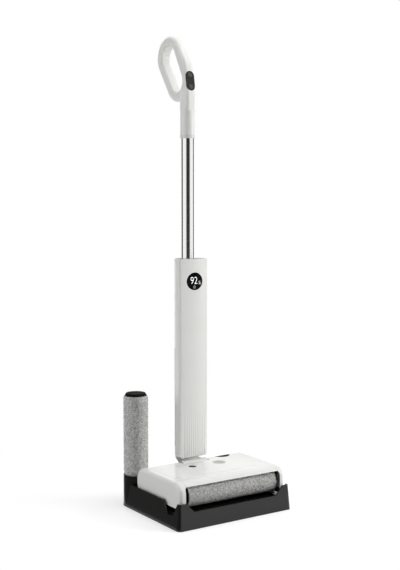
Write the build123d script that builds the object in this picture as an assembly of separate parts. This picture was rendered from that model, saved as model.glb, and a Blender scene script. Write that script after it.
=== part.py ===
from build123d import *
from math import acos, atan2, cos, degrees, radians, sin, tan
import os

# An upright wet and dry floor washer, parked in its dock, in millimetres.
# The origin is the middle of the dock's footprint on the floor: +X to the right, +Y to the back, +Z up.

# Overall sizes
HEAD_W = 280.0
HEAD_D = 185.0
BODY_W = 76.4
BODY_H = 459.0
TUBE_SHOWN = 274.0

# Dock
DOCK_W = HEAD_W + 24.0
DOCK_D = HEAD_D + 73.5
DOCK_CORNER_R = 10.0
DOCK_DRAFT = 5.5
DOCK_WALL = 3.0
DOCK_SKIRT = 10.0
DOCK_FLOOR = 33.5
DOCK_CEILING = 30.0
POST_H = 57.5
SIDE_H = 54.5
LIP_H = 37.5
FRONT_CUT_W = DOCK_W - 84.0
FRONT_CUT_R = 8.0
SCOOP_BOTTOM = 28.5
SCOOP_FRONT = 29.0 - DOCK_D / 2
SCOOP_BACK = SCOOP_FRONT + 24.0
SCOOP_FRONT_RUN = 17.0
SCOOP_BACK_RUN = 17.0
SCOOP_R = 11.0
SCOOP_EDGE_R = 9.0
SCOOP_LEDGE = 34.0
FOOT_R = 6.0
FOOT_H = 0.8
FOOT_SINK = 1.2
BASE_T = 3.2
TROUGH_GAP = 6.0
INLET_R = 5.5
INLET_BORE_R = 3.2
INLET_LENGTH = 16.0

# Rollers, one in the head and a spare
ROLLER_R = 27.0
ROLLER_LEFT = 24.0 - HEAD_W / 2
ROLLER_RIGHT = HEAD_W / 2 - 15.5
ROLLER_Y = 43.5 - DOCK_D / 2
ROLLER_Z = 65.0
CORE_R = ROLLER_R - 5.0
CORE_WALL = 2.5
CAP_R = ROLLER_R - 2.0
CAP_T = 3.0
AXLE_R = 4.0
SPARE_R = ROLLER_R + 2.0
SPARE_CAP_R = CORE_R
SPARE_CAP_FLARE = 3.5
SPARE_CAP_H = 5.5
SPARE_NOTCHES = 18
SPARE_TAPER_H = 6.0
TOWER_R = SPARE_R
TOWER_INSET = 0.7
TOWER_H = 73.0
TOWER_WALL = 2.5
SOCKET_FLOOR = 17.5

# Floor head
HEAD_FRONT = ROLLER_Y - ROLLER_R - 3.5
HEAD_REAR = HEAD_FRONT + HEAD_D
HEAD_TOP = 98.0
HEAD_LOW = 43.0
HEAD_WALL = 2.8
NOSE_R = 24.0
TAIL_R = 26.0
TAIL_LOW_R = 14.0
TAIL_Z = 60.0
TAIL_TUCK = 7.0
SIDE_EDGE_R = 7.0
CHASSIS_LOW = 39.5
CHASSIS_T = 6.5
WINDOW_LEFT = 14.5 - HEAD_W / 2
WINDOW_RIGHT = HEAD_W / 2 - 11.5
WINDOW_TOP = 89.0
WINDOW_R = 6.0
PANEL_LEFT = WINDOW_LEFT + 3.0
PANEL_RIGHT = WINDOW_RIGHT - 3.0
COVER_REAR = HEAD_FRONT + 44.0
GROOVE_W = 3.6
GROOVE_DEPTH = 1.4
LID_REAR = HEAD_REAR - 53.0
SEAM = 0.4
BAY_WALL_Y = ROLLER_Y + ROLLER_R + 8.0
BAY_WALL_T = 3.0
BAY_WALL_TOP = 88.0
SIDE_WALL_T = 2.7
BEARING_R = 8.0
BEARING_T = 6.0

# Drive of the roller
PULLEY_X = 5.5 - HEAD_W / 2
PULLEY_T = 6.0
FLANGE_T = 1.0
FLANGE_STEP = 1.8
ROLLER_PULLEY_R = ROLLER_R - 12.0
MOTOR_PULLEY_R = 7.0
BELT_T = 1.6
BELT_GAP = 0.3
BELT_REST = 8.0
MOTOR_R = 15.0
MOTOR_LENGTH = 56.0
MOTOR_Y = HEAD_REAR - 45.0
MOTOR_Z = 61.5
MOTOR_SHAFT_R = 2.0
SHAFT_DEPTH = 18.0

# Dirty-water tank, lid, window and release button of the head
DIRTY_LEFT = ROLLER_LEFT + 6.0
DIRTY_RIGHT = ROLLER_RIGHT - 6.0
DIRTY_FRONT = BAY_WALL_Y + 6.0
DIRTY_REAR = LID_REAR - 10.0
DIRTY_WALL = 2.0
WINDOW_LENS = (-32.5, LID_REAR - 16.0)
WINDOW_LENS_R = 9.0
WINDOW_LENS_T = 1.8
RELEASE = (39.5, LID_REAR - 18.0)
RELEASE_R = 15.0
RELEASE_T = 4.5
RELEASE_DISH = 2.4
RELEASE_STEM_R = 4.0
RELEASE_TRAVEL = 2.0
RELEASE_CUP_WALL = 2.4
RELEASE_CUP_FLOOR = 3.0
DUCT_R = 11.0
DUCT_BORE_R = 8.0
DUCT_Z = 74.0

# Rear wheels and the charging insert of the head
WHEEL_R = 13.0
WHEEL_W = 14.0
WHEEL_X = HEAD_W / 2 - 32.5
WHEEL_Y = HEAD_REAR - 15.0
WHEEL_BASE = 36.3
WHEEL_AXLE_R = 2.5
CHARGE_X = HEAD_W / 2 - 58.0
CHARGE_Y = HEAD_REAR - 16.0
CHARGE_R = 21.0
CHARGE_LOW = 60.0
CHARGE_T = 4.0
PAD_R = 3.0
PAD_Z = 66.5
PAD_PITCH = 16.0

# Neck: a barrel that tilts on the head and a spigot that the body swivels on
STEM_Y = HEAD_REAR
TILT_Y = STEM_Y - 25.0
TILT_Z = 88.0
BARREL_R = 12.5
BARREL_W = 66.0
TILT_PIN_R = 4.0
TILT_EAR_T = 6.5
TILT_EAR_W = 20.0
RECESS_W = 72.0
BAY_W = BODY_W + 31.6
BAY_FRONT = STEM_Y - 14.0
NECK_ARM_W = 44.0
NECK_FLANGE_TOP = 105.0
SPIGOT_R = 18.0
NECK_FLANGE_R = SPIGOT_R + 5.0
SPIGOT_TOP = NECK_FLANGE_TOP + 16.0
SPIGOT_BORE_R = SPIGOT_R - 7.0
RING_T = 2.4
RING_R = SPIGOT_R + 3.0
RING_GROOVE = 3.0

# Upright body, round the tube's axis
BODY_FRONT = 30.0
BODY_EDGE = 25.3
BODY_BACK_CENTRE = SPIGOT_R - 32.0
BODY_BOTTOM = NECK_FLANGE_TOP + 2.0
BODY_TOP = BODY_BOTTOM + BODY_H
BODY_WALL = 2.5
BODY_CORNER_R = 4.0
BODY_LOWER_R = 9.0
SPLIT_Y = -24.0
SPLIT_GAP = 0.3
TOP_CAP_T = 4.5
TOP_CAP_SINK = 0.5
SWIVEL_PLATE_T = 6.0
DISPLAY_Z = BODY_TOP - 51.0
DISPLAY_W = 43.0
DISPLAY_H = 40.5
DISPLAY_T = 2.0
FLUTE_PITCH = 5.5
FLUTE_COUNT = 11
FLUTE_R = 2.0
FLUTE_DEPTH = 1.2
FLUTE_TOP = BODY_BOTTOM + 158.0
FINGER_R = 30.0
FINGER_Y = BODY_BACK_CENTRE + BODY_W / 2 + 14.8

# Water tank at the back of the body
TANK_LOW = BODY_BOTTOM + 25.0
TANK_TOP = BODY_TOP - 206.0
FINGER_Z = TANK_TOP + 29.0
TANK_FRONT = -2.0
TANK_WALL = 2.0
TANK_GAP = 0.8
TANK_TOP_GAP = 2.2
PARTITION_T = 2.2
TANK_FOOT_Y = BODY_BACK_CENTRE + BODY_W / 2 - 1.7
TANK_FOOT_Z = TANK_LOW + 2.5
TANK_FOOT_R = 2.5
TANK_FOOT_W = 40.0
STOPPER_R = 8.0
STOPPER_Y = 8.0

# What the body holds
CELL_R = 9.2
CELL_LENGTH = 65.0
CELL_COLUMNS = 3
CELL_ROWS = 2
BATTERY_LOW = BODY_BOTTOM + 86.0
PUMP_LOW = BODY_BOTTOM + 26.0
PUMP_LENGTH = 48.0
PUMP_R = 9.0
FILTER_R = 13.0
FILTER_TOP = TANK_TOP + 65.0
FAN_Y = -4.0
FAN_R = 22.0
FAN_TOP = FILTER_TOP + 50.0
FAN_WALL = 3.0
IMPELLER_R = 16.0
IMPELLER_H = 14.0
IMPELLER_BLADES = 9

# Tube and handle
TUBE_R = 15.5
TUBE_WALL = 1.5
TUBE_LOW = BODY_TOP - 61.0
COLLAR_LOW = BODY_TOP + TUBE_SHOWN
COLLAR_H = 8.0
TUBE_TOP = COLLAR_LOW + 18.0
STEM_R = TUBE_R + 1.6
STEM_TOP = COLLAR_LOW + 88.0
LOOP_LEAN = 34.5
LOOP_TOP_Y = 64.5
LOOP_TOP_Z = COLLAR_LOW + 188.6
LOOP_LENGTH = 68.4
LOOP_GAP_R = 27.5
LOOP_FOOT_GAP_R = 24.0
LOOP_BAR = 21.0
LOOP_W = 27.0
LOOP_EDGE_R = 8.0
LOOP_GAP_EDGE_R = 5.0
LOOP_LOW_Z = COLLAR_LOW + 62.0
PANEL_LEAN = 9.0
PANEL_FOOT_Z = COLLAR_LOW + 99.0
PANEL_Z = PANEL_FOOT_Z + 30.0
PANEL_L = 45.0
PANEL_W = 22.0
PANEL_T = 3.0
POCKET_DEPTH = 8.5
BUTTON_R = 5.3
BUTTON_T = 5.0
BUTTON_PITCH = 27.0
BUTTON_TRAVEL = 1.0
BUTTON_PROUD = 0.7

# Fits
RUNNING = 0.06
SLIDING = 0.3
SEAT = 0.02
SCREW_R = 1.45
SCREW_HEAD_R = 3.0
SCREW_HEAD_H = 1.8


def block(x0, x1, y0, y1, z0, z1):
    """A box between two opposite corners."""
    return Pos((x0 + x1) / 2, (y0 + y1) / 2, (z0 + z1) / 2) * Box(x1 - x0, y1 - y0, z1 - z0)


def rod_x(x0, x1, y, z, r):
    """A cylinder along X."""
    return Pos((x0 + x1) / 2, y, z) * Rot(0, 90, 0) * Cylinder(r, x1 - x0)


def rod_y(x, y0, y1, z, r):
    """A cylinder along Y."""
    return Pos(x, (y0 + y1) / 2, z) * Rot(90, 0, 0) * Cylinder(r, y1 - y0)


def rod_z(x, y, z0, z1, r):
    """A cylinder along Z."""
    return Pos(x, y, (z0 + z1) / 2) * Cylinder(r, z1 - z0)


def prism_x(sketch, x0, x1):
    """A sketch drawn in Y and Z, carried along X."""
    return Pos(x0, 0, 0) * extrude(Plane.YZ * sketch, x1 - x0)


def prism_y(sketch, y0, y1):
    """A sketch drawn in X and Z, carried along Y."""
    return Pos(0, y1, 0) * extrude(Plane.XZ * sketch, y1 - y0)


def prism_z(sketch, z0, z1):
    """A sketch drawn in X and Y, carried along Z."""
    return Pos(0, 0, z0) * extrude(sketch, z1 - z0)


def rounded_polygon(points, radii):
    """A polygon whose named corners are rounded."""
    face = make_face(Polyline(*points, close=True))
    for point, radius in radii:
        corner = face.vertices().sort_by_distance((point[0], point[1], 0))[0]
        face = fillet(corner, radius)
    return face


def round_hull(a, a_r, b, b_r):
    """The hull of two circles, their seams turned to face each other."""
    turn = degrees(atan2(b.Y - a.Y, b.X - a.X))
    first = Pos(a) * Rot(0, 0, turn) * Circle(a_r)
    second = Pos(b) * Rot(0, 0, turn + 180) * Circle(b_r)
    return make_hull(first.edges() + second.edges())


def screw(x, y, z, length):
    """A screw driven upwards, its head's lower face at z."""
    head = rod_z(x, y, z, z + SCREW_HEAD_H, SCREW_HEAD_R)
    return head + rod_z(x, y, z + SCREW_HEAD_H, z + length, SCREW_R)


def screw_hole(x, y, z, length):
    """The counterbore and pilot that such a screw sits in."""
    head = rod_z(x, y, z - 1, z + SCREW_HEAD_H, SCREW_HEAD_R + SLIDING)
    return head + rod_z(x, y, z, z + length, SCREW_R + SEAT)


# Dock

tower_x = TOWER_R + TOWER_INSET - DOCK_W / 2
tower_y = DOCK_D / 2 - TOWER_R - TOWER_INSET
cavity_w = DOCK_W - 2 * DOCK_SKIRT
cavity_d = DOCK_D - 2 * DOCK_SKIRT
base_top = FOOT_H + BASE_T
draft_run = tan(radians(DOCK_DRAFT))
dock_screw_places = [(x, y) for x in (80 - DOCK_W / 2, DOCK_W / 2 - 80) for y in (-30.0, DOCK_D / 2 - 31)]
dock_foot_places = [(x, y) for x in (32 - DOCK_W / 2, DOCK_W / 2 - 32) for y in (27 - DOCK_D / 2, DOCK_D / 2 - 71)]
dock_foot_places.append((0.0, 0.0))
contact_y = HEAD_REAR + 3.5
contact_places = [CHARGE_X + side * PAD_PITCH / 2 for side in (-1, 1)]


def dock_outline(inset):
    """The dock seen from above, drawn in: small corners in front, and round the socket's axis at the back."""
    half_w = DOCK_W / 2 - inset
    half_d = DOCK_D / 2 - inset
    back_r = TOWER_R + TOWER_INSET - inset
    return rounded_polygon(
        [(-half_w, -half_d), (half_w, -half_d), (half_w, half_d), (-half_w, half_d)],
        [((x, -half_d), DOCK_CORNER_R - inset) for x in (-half_w, half_w)]
        + [((x, half_d), back_r) for x in (-half_w, half_w)])


def dock_tray():
    outer = Pos(0, 0, FOOT_H) * extrude(dock_outline(0), POST_H - FOOT_H, taper=DOCK_DRAFT)
    pocket = Pos(0, 0, DOCK_FLOOR) * extrude(
        dock_outline(DOCK_FLOOR * draft_run + DOCK_WALL), POST_H - DOCK_FLOOR + 2, taper=DOCK_DRAFT)
    tray = outer - pocket
    ledge = SCOOP_BACK + SCOOP_BACK_RUN + SCOOP_LEDGE
    tray -= block(-DOCK_W, DOCK_W, ledge - 1, DOCK_D, SIDE_H, POST_H + 1)
    scoop_top = POST_H + 5
    brink = (SCOOP_BACK + SCOOP_BACK_RUN, SIDE_H)
    scoop = rounded_polygon(
        [(ledge, scoop_top), (ledge, SIDE_H), brink, (SCOOP_BACK, SCOOP_BOTTOM), (SCOOP_FRONT, SCOOP_BOTTOM),
         (SCOOP_FRONT - SCOOP_FRONT_RUN, scoop_top)],
        [(brink, SCOOP_EDGE_R), ((SCOOP_BACK, SCOOP_BOTTOM), SCOOP_R), ((SCOOP_FRONT, SCOOP_BOTTOM), SCOOP_R)])
    scoop_depth = DOCK_W / 2 - POST_H * draft_run - DOCK_WALL - 1
    tray -= prism_x(scoop, -DOCK_W, -scoop_depth)
    tray -= prism_x(scoop, scoop_depth, DOCK_W)
    half = FRONT_CUT_W / 2
    rise = POST_H + 3 - LIP_H
    front_cut = rounded_polygon(
        [(-half - rise, LIP_H + rise), (-half, LIP_H), (half, LIP_H), (half + rise, LIP_H + rise)],
        [((-half, LIP_H), FRONT_CUT_R), ((half, LIP_H), FRONT_CUT_R)])
    tray -= prism_y(front_cut, -DOCK_D, -DOCK_D / 2 + POST_H * draft_run + DOCK_WALL + 1)
    tray += rod_z(tower_x, tower_y, FOOT_H, TOWER_H, TOWER_R)
    tray -= rod_z(tower_x, tower_y, SOCKET_FLOOR, TOWER_H + 1, TOWER_R - TOWER_WALL)
    trough_r = ROLLER_R + TROUGH_GAP
    tray -= rod_x(ROLLER_LEFT - 8, ROLLER_RIGHT + 8, ROLLER_Y, ROLLER_Z, trough_r)
    cavity = prism_z(RectangleRounded(cavity_w, cavity_d, DOCK_CORNER_R), FOOT_H - 1, DOCK_CEILING)
    cavity -= rod_x(-cavity_w, cavity_w, ROLLER_Y, ROLLER_Z, trough_r + DOCK_WALL)
    cavity -= rod_z(tower_x, tower_y, 0, TOWER_H, TOWER_R)
    for x, y in dock_screw_places:
        cavity -= rod_z(x, y, base_top, DOCK_CEILING, 2 * SCREW_HEAD_R)
    tray -= cavity
    for x, y in dock_screw_places:
        tray -= rod_z(x, y, base_top - 1, base_top + 14, SCREW_R + SEAT)
    post = block(contact_places[0] - 8, contact_places[1] + 8, contact_y, contact_y + 12, DOCK_FLOOR, PAD_Z + 8)
    tray += post
    for x in contact_places:
        tray -= rod_y(x, contact_y - 1, contact_y + 8, PAD_Z, PAD_R - 1 + SEAT)
    tray -= rod_y(0, DOCK_D / 2 - DOCK_SKIRT - 1, DOCK_D / 2 + 1, DOCK_FLOOR / 2, INLET_R + SEAT)
    return tray


def dock_base():
    plate = prism_z(
        RectangleRounded(cavity_w - 2 * SLIDING, cavity_d - 2 * SLIDING, DOCK_CORNER_R), FOOT_H, base_top)
    plate -= rod_z(tower_x, tower_y, 0, TOWER_H, TOWER_R + SLIDING)
    for x, y in dock_screw_places:
        plate -= screw_hole(x, y, FOOT_H, base_top)
    for x, y in dock_foot_places:
        plate -= rod_z(x, y, 0, FOOT_H + FOOT_SINK, FOOT_R + SEAT)
    return plate


def dock_feet():
    return [rod_z(x, y, 0, FOOT_H + FOOT_SINK, FOOT_R) for x, y in dock_foot_places]


def dock_screws():
    return [screw(x, y, FOOT_H, 15) for x, y in dock_screw_places]


def contact_pins():
    return [rod_y(x, HEAD_REAR + SLIDING, contact_y + 8, PAD_Z, PAD_R - 1) for x in contact_places]


def wheel_rests():
    """A pad on the dock's floor under each rear wheel."""
    half_w = WHEEL_W / 2 + 2
    half_d = WHEEL_R - 1
    top = WHEEL_BASE - SLIDING
    return [block(x - half_w, x + half_w, WHEEL_Y - half_d, WHEEL_Y + half_d, DOCK_FLOOR, top)
            for x in (-WHEEL_X, WHEEL_X)]


def dc_inlet():
    back = DOCK_D / 2 - DOCK_FLOOR / 2 * draft_run - 0.4
    body = rod_y(0, back - INLET_LENGTH, back, DOCK_FLOOR / 2, INLET_R)
    body -= rod_y(0, back - INLET_LENGTH + 4, back + 1, DOCK_FLOOR / 2, INLET_BORE_R)
    return body + rod_y(0, back - INLET_LENGTH, back - 3, DOCK_FLOOR / 2, INLET_BORE_R / 3)


# Rollers

roller_length = ROLLER_RIGHT - ROLLER_LEFT
pile_left = ROLLER_LEFT + CAP_T
pile_right = ROLLER_RIGHT - CAP_T


def roller_axle():
    return rod_x(PULLEY_X, end_wall_x + BEARING_T, ROLLER_Y, ROLLER_Z, AXLE_R)


def roller_core():
    core = rod_x(pile_left, pile_right, ROLLER_Y, ROLLER_Z, CORE_R)
    return core - rod_x(pile_left - 1, pile_right + 1, ROLLER_Y, ROLLER_Z, CORE_R - CORE_WALL)


def roller_sleeve():
    sleeve = rod_x(pile_left, pile_right, ROLLER_Y, ROLLER_Z, ROLLER_R)
    return sleeve - rod_x(pile_left - 1, pile_right + 1, ROLLER_Y, ROLLER_Z, CORE_R + SEAT)


def roller_caps():
    caps = []
    for outer, inner in ((ROLLER_LEFT, pile_left), (ROLLER_RIGHT, pile_right)):
        low, high = sorted((outer, inner))
        cap = rod_x(low, high, ROLLER_Y, ROLLER_Z, CAP_R)
        plug_end = inner + (8 if inner == pile_left else -8)
        low, high = sorted((inner, plug_end))
        cap += rod_x(low, high, ROLLER_Y, ROLLER_Z, CORE_R - CORE_WALL - SEAT)
        caps.append(cap - rod_x(-HEAD_W, HEAD_W, ROLLER_Y, ROLLER_Z, AXLE_R + SEAT))
    return caps


def pulley(y, z, r):
    """A flanged belt pulley, on its own axis along X."""
    disc = rod_x(PULLEY_X, PULLEY_X + PULLEY_T, y, z, r)
    disc += rod_x(PULLEY_X, PULLEY_X + FLANGE_T, y, z, r + FLANGE_STEP)
    return disc + rod_x(PULLEY_X + PULLEY_T - FLANGE_T, PULLEY_X + PULLEY_T, y, z, r + FLANGE_STEP)


def roller_pulley():
    wheel = pulley(ROLLER_Y, ROLLER_Z, ROLLER_PULLEY_R)
    return wheel - rod_x(-HEAD_W, HEAD_W, ROLLER_Y, ROLLER_Z, AXLE_R + SEAT)


def motor_pulley():
    shaft_end = drive_wall_x + SHAFT_DEPTH - 1
    return pulley(MOTOR_Y, MOTOR_Z, MOTOR_PULLEY_R) + rod_x(PULLEY_X, shaft_end, MOTOR_Y, MOTOR_Z, MOTOR_SHAFT_R)


def belt_loop(spread):
    """The face inside the belt's loop, spread outwards."""
    grow = BELT_GAP + spread
    return round_hull(
        Vector(ROLLER_Y, ROLLER_Z), ROLLER_PULLEY_R + grow, Vector(MOTOR_Y, MOTOR_Z), MOTOR_PULLEY_R + grow)


def belt_under(y):
    """The height of the belt's lower run at a place between the pulleys."""
    grow = BELT_GAP + BELT_T
    span = ((MOTOR_Y - ROLLER_Y) ** 2 + (MOTOR_Z - ROLLER_Z) ** 2) ** 0.5
    turn = atan2(MOTOR_Z - ROLLER_Z, MOTOR_Y - ROLLER_Y) - acos((ROLLER_PULLEY_R - MOTOR_PULLEY_R) / span)
    reach = (ROLLER_PULLEY_R + grow - (y - ROLLER_Y) * cos(turn)) / sin(turn)
    return ROLLER_Z + reach


def drive_belt():
    low = PULLEY_X + FLANGE_T + BELT_GAP
    high = PULLEY_X + PULLEY_T - FLANGE_T - BELT_GAP
    return prism_x(belt_loop(BELT_T) - belt_loop(0), low, high)


spare_low = SOCKET_FLOOR + SLIDING
spare_pile_low = spare_low + CAP_T
spare_pile_high = spare_low + roller_length - CAP_T


def spare_sleeve():
    pressed_r = TOWER_R - TOWER_WALL - 0.5
    profile = Polyline(
        (CORE_R + SEAT, spare_pile_low), (pressed_r, spare_pile_low), (pressed_r, TOWER_H + SLIDING),
        (SPARE_R, TOWER_H + SPARE_TAPER_H), (SPARE_R, spare_pile_high), (CORE_R + SEAT, spare_pile_high),
        close=True)
    return Pos(tower_x, tower_y, 0) * revolve(Plane.XZ * make_face(profile), Axis.Z)


def spare_core():
    core = rod_z(tower_x, tower_y, spare_pile_low, spare_pile_high, CORE_R)
    return core - rod_z(tower_x, tower_y, 0, 2 * spare_pile_high, CORE_R - CORE_WALL)


def spare_caps():
    plug_r = CORE_R - CORE_WALL - SEAT
    lower = rod_z(tower_x, tower_y, spare_low, spare_pile_low, CORE_R) + rod_z(
        tower_x, tower_y, spare_pile_low, spare_pile_low + 8, plug_r)
    foot_r = SPARE_CAP_R + SPARE_CAP_FLARE
    upper = rod_z(tower_x, tower_y, spare_pile_high - 8, spare_pile_high, plug_r)
    upper += Pos(tower_x, tower_y, spare_pile_high + SPARE_CAP_H / 2) * Cone(foot_r, SPARE_CAP_R, SPARE_CAP_H)
    for step in range(SPARE_NOTCHES):
        turn = Rot(0, 0, 360 * step / SPARE_NOTCHES)
        upper -= Pos(tower_x, tower_y, spare_pile_high + 1) * turn * Pos(foot_r, 0, 0) * Box(5, 4, 2.4)
    return [lower, upper]


# Floor head

drive_wall_x = ROLLER_LEFT - 0.5
end_wall_x = ROLLER_RIGHT + 2.0
chassis_top = CHASSIS_LOW + CHASSIS_T
roof = HEAD_TOP - HEAD_WALL
head_screw_places = [
    (9.5 - HEAD_W / 2, HEAD_FRONT + 8), (9.5 - HEAD_W / 2, HEAD_REAR - 29),
    (HEAD_W / 2 - 9.5, BAY_WALL_Y + 12), (HEAD_W / 2 - 9.5, HEAD_REAR - 29)]


def head_volume(inset, drop):
    """The head's outside form drawn in by a wall, let down past its open lower edge."""
    front = HEAD_FRONT + inset
    rear = HEAD_REAR - inset
    top = HEAD_TOP - inset
    side = HEAD_W / 2 - inset
    low = HEAD_LOW - drop
    profile = rounded_polygon(
        [(front, low), (front, top), (rear, top), (rear, TAIL_Z), (rear - TAIL_TUCK, low)],
        [((front, top), NOSE_R - inset), ((rear, top), TAIL_R - inset), ((rear, TAIL_Z), TAIL_LOW_R)])
    volume = prism_x(profile, -side, side)
    ends = [volume.faces().sort_by(Axis.X)[place] for place in (0, -1)]
    rims = [edge for end in ends for edge in end.edges() if edge.center().Z > low + 0.01]
    return fillet(rims, SIDE_EDGE_R - inset)


def neck_clearance():
    """The space that the neck and the body's foot swing through behind the head."""
    recess = block(-RECESS_W / 2, RECESS_W / 2, TILT_Y - BARREL_R - 1, 2 * HEAD_REAR, 60, HEAD_TOP + 1)
    return recess + block(-BAY_W / 2, BAY_W / 2, BAY_FRONT, 2 * HEAD_REAR, 0, HEAD_TOP + 1)


def wheel_arch(side, margin):
    low, high = sorted((side * (WHEEL_X - WHEEL_W / 2 - margin), side * (WHEEL_X + WHEEL_W / 2 + margin)))
    reach = WHEEL_R + margin
    return block(low, high, WHEEL_Y - reach, HEAD_REAR + 5, 0, WHEEL_BASE + 2 * WHEEL_R + margin)


head_outer = head_volume(0, 0)
head_inner = head_volume(HEAD_WALL, 10)
head_skin = head_outer - head_inner


def head_shell():
    shell = head_skin
    for x, y in head_screw_places:
        shell += rod_z(x, y, chassis_top, roof + 1, 4.5) & head_outer
    window = rounded_polygon(
        [(WINDOW_LEFT, 0), (WINDOW_RIGHT, 0), (WINDOW_RIGHT, WINDOW_TOP), (WINDOW_LEFT, WINDOW_TOP)],
        [((x, WINDOW_TOP), WINDOW_R) for x in (WINDOW_LEFT, WINDOW_RIGHT)])
    shell -= prism_y(window, HEAD_FRONT - 1, HEAD_FRONT + NOSE_R)
    shell -= block(PANEL_LEFT - SEAM, PANEL_RIGHT + SEAM, HEAD_FRONT - 1, LID_REAR + SEAM, WINDOW_TOP - 8, HEAD_TOP + 1)
    shell -= neck_clearance()
    for side in (-1, 1):
        shell -= wheel_arch(side, 1.5)
    shell -= rod_z(CHARGE_X, CHARGE_Y, CHARGE_LOW - SLIDING, HEAD_TOP + 1, CHARGE_R + SLIDING)
    for x, y in head_screw_places:
        shell -= rod_z(x, y, chassis_top - 1, chassis_top + 12, SCREW_R + SEAT)
    return shell


def cover_groove():
    """The shallow groove between the roller cover and the lid, seen from the side as a cut-off wedge."""
    middle = COVER_REAR + SEAM / 2
    half = GROOVE_W / 2
    wedge = Polyline(
        (middle - half, HEAD_TOP + 0.1), (middle + half, HEAD_TOP + 0.1), (middle + half / 3, HEAD_TOP - GROOVE_DEPTH),
        (middle - half / 3, HEAD_TOP - GROOVE_DEPTH), close=True)
    return prism_x(make_face(wedge), -HEAD_W, HEAD_W)


def roller_cover():
    strip = block(PANEL_LEFT, PANEL_RIGHT, HEAD_FRONT - 1, COVER_REAR, WINDOW_TOP, HEAD_TOP + 1)
    return (head_skin & strip) - cover_groove()


def head_chassis():
    room = head_volume(HEAD_WALL + SLIDING, 10)
    plate = room & block(-HEAD_W, HEAD_W, HEAD_FRONT, HEAD_REAR, CHASSIS_LOW, chassis_top)
    plate -= block(drive_wall_x, end_wall_x, HEAD_FRONT, BAY_WALL_Y, 0, HEAD_TOP)
    wall_front = HEAD_FRONT + 14
    walls = block(drive_wall_x, end_wall_x, BAY_WALL_Y, BAY_WALL_Y + BAY_WALL_T, CHASSIS_LOW, BAY_WALL_TOP)
    walls += block(drive_wall_x - SIDE_WALL_T, drive_wall_x, wall_front, MOTOR_Y + MOTOR_R, CHASSIS_LOW, BAY_WALL_TOP)
    walls += block(end_wall_x, end_wall_x + SIDE_WALL_T, wall_front, BAY_WALL_Y + BAY_WALL_T, CHASSIS_LOW, BAY_WALL_TOP)
    walls += rod_x(drive_wall_x - BEARING_T, drive_wall_x, ROLLER_Y, ROLLER_Z, BEARING_R + 3)
    walls += rod_x(end_wall_x, end_wall_x + BEARING_T, ROLLER_Y, ROLLER_Z, BEARING_R + 3)
    ear_in = RECESS_W / 2 + SLIDING
    for side in (-1, 1):
        low, high = sorted((side * ear_in, side * (ear_in + TILT_EAR_T)))
        walls += block(low, high, TILT_Y - TILT_EAR_W / 2, TILT_Y + TILT_EAR_W / 2, CHASSIS_LOW, TILT_Z + 6)
        low, high = sorted((side * (BAY_W / 2 + SLIDING), side * (BAY_W / 2 + SLIDING + SIDE_WALL_T)))
        walls += block(low, high, BAY_FRONT - SIDE_WALL_T, HEAD_REAR, CHASSIS_LOW, HEAD_TOP)
        low, high = sorted((side * ear_in, side * (BAY_W / 2 + SLIDING + SIDE_WALL_T)))
        walls += block(low, high, BAY_FRONT - SLIDING - SIDE_WALL_T, BAY_FRONT - SLIDING, CHASSIS_LOW, HEAD_TOP)
        for edge in (-1, 1):
            cheek = side * WHEEL_X + edge * (WHEEL_W / 2 + 2.5)
            walls += block(cheek - 1.5, cheek + 1.5, WHEEL_Y - 6, WHEEL_Y + 6, CHASSIS_LOW, WHEEL_BASE + WHEEL_R + 6)
    rest_y = BAY_WALL_Y + 12
    walls += block(
        PULLEY_X + FLANGE_T, PULLEY_X + PULLEY_T - FLANGE_T, rest_y, rest_y + BELT_REST, CHASSIS_LOW,
        belt_under(rest_y) - SEAT)
    saddle = block(-5, 5, DIRTY_REAR + 3, TILT_Y - BARREL_R - 4, CHASSIS_LOW, DUCT_Z - DUCT_R / 2)
    walls += saddle - rod_y(0, 0, TILT_Y, DUCT_Z, DUCT_R + SEAT)
    chassis = plate + (walls & room)
    chassis -= block(-NECK_ARM_W / 2 - 4, NECK_ARM_W / 2 + 4, TILT_Y - 6, 2 * HEAD_REAR, chassis_top, HEAD_TOP)
    chassis -= block(-BAY_W / 2, BAY_W / 2, BAY_FRONT, 2 * HEAD_REAR, 0, HEAD_TOP)
    for side in (-1, 1):
        low, high = sorted((side * (WHEEL_X - WHEEL_W / 2 - 1), side * (WHEEL_X + WHEEL_W / 2 + 1)))
        chassis -= block(low, high, WHEEL_Y - WHEEL_R - 1.5, HEAD_REAR + 1, 0, HEAD_TOP)
    bores = rod_x(drive_wall_x - BEARING_T - 1, drive_wall_x + 1, ROLLER_Y, ROLLER_Z, BEARING_R + SEAT)
    bores += rod_x(end_wall_x - 1, end_wall_x + BEARING_T + 1, ROLLER_Y, ROLLER_Z, BEARING_R + SEAT)
    chassis -= bores
    chassis -= rod_x(drive_wall_x - 9, drive_wall_x + 1, MOTOR_Y, MOTOR_Z, 2 * MOTOR_SHAFT_R)
    chassis -= rod_x(-HEAD_W / 4, HEAD_W / 4, TILT_Y, TILT_Z, TILT_PIN_R + SEAT)
    for side in (-1, 1):
        low, high = sorted((side * (WHEEL_X - WHEEL_W), side * (WHEEL_X + WHEEL_W)))
        chassis -= rod_x(low, high, WHEEL_Y, WHEEL_BASE + WHEEL_R, WHEEL_AXLE_R + SEAT)
    for x, y in head_screw_places:
        chassis -= screw_hole(x, y, CHASSIS_LOW, CHASSIS_T + 1)
    return chassis


def head_screws():
    return [screw(x, y, CHASSIS_LOW, CHASSIS_T + 11) for x, y in head_screw_places]


def roller_bearings():
    rings = []
    for low in (drive_wall_x - BEARING_T, end_wall_x):
        ring = rod_x(low, low + BEARING_T, ROLLER_Y, ROLLER_Z, BEARING_R)
        rings.append(ring - rod_x(low - 1, low + BEARING_T + 1, ROLLER_Y, ROLLER_Z, AXLE_R + RUNNING))
    return rings


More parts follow.
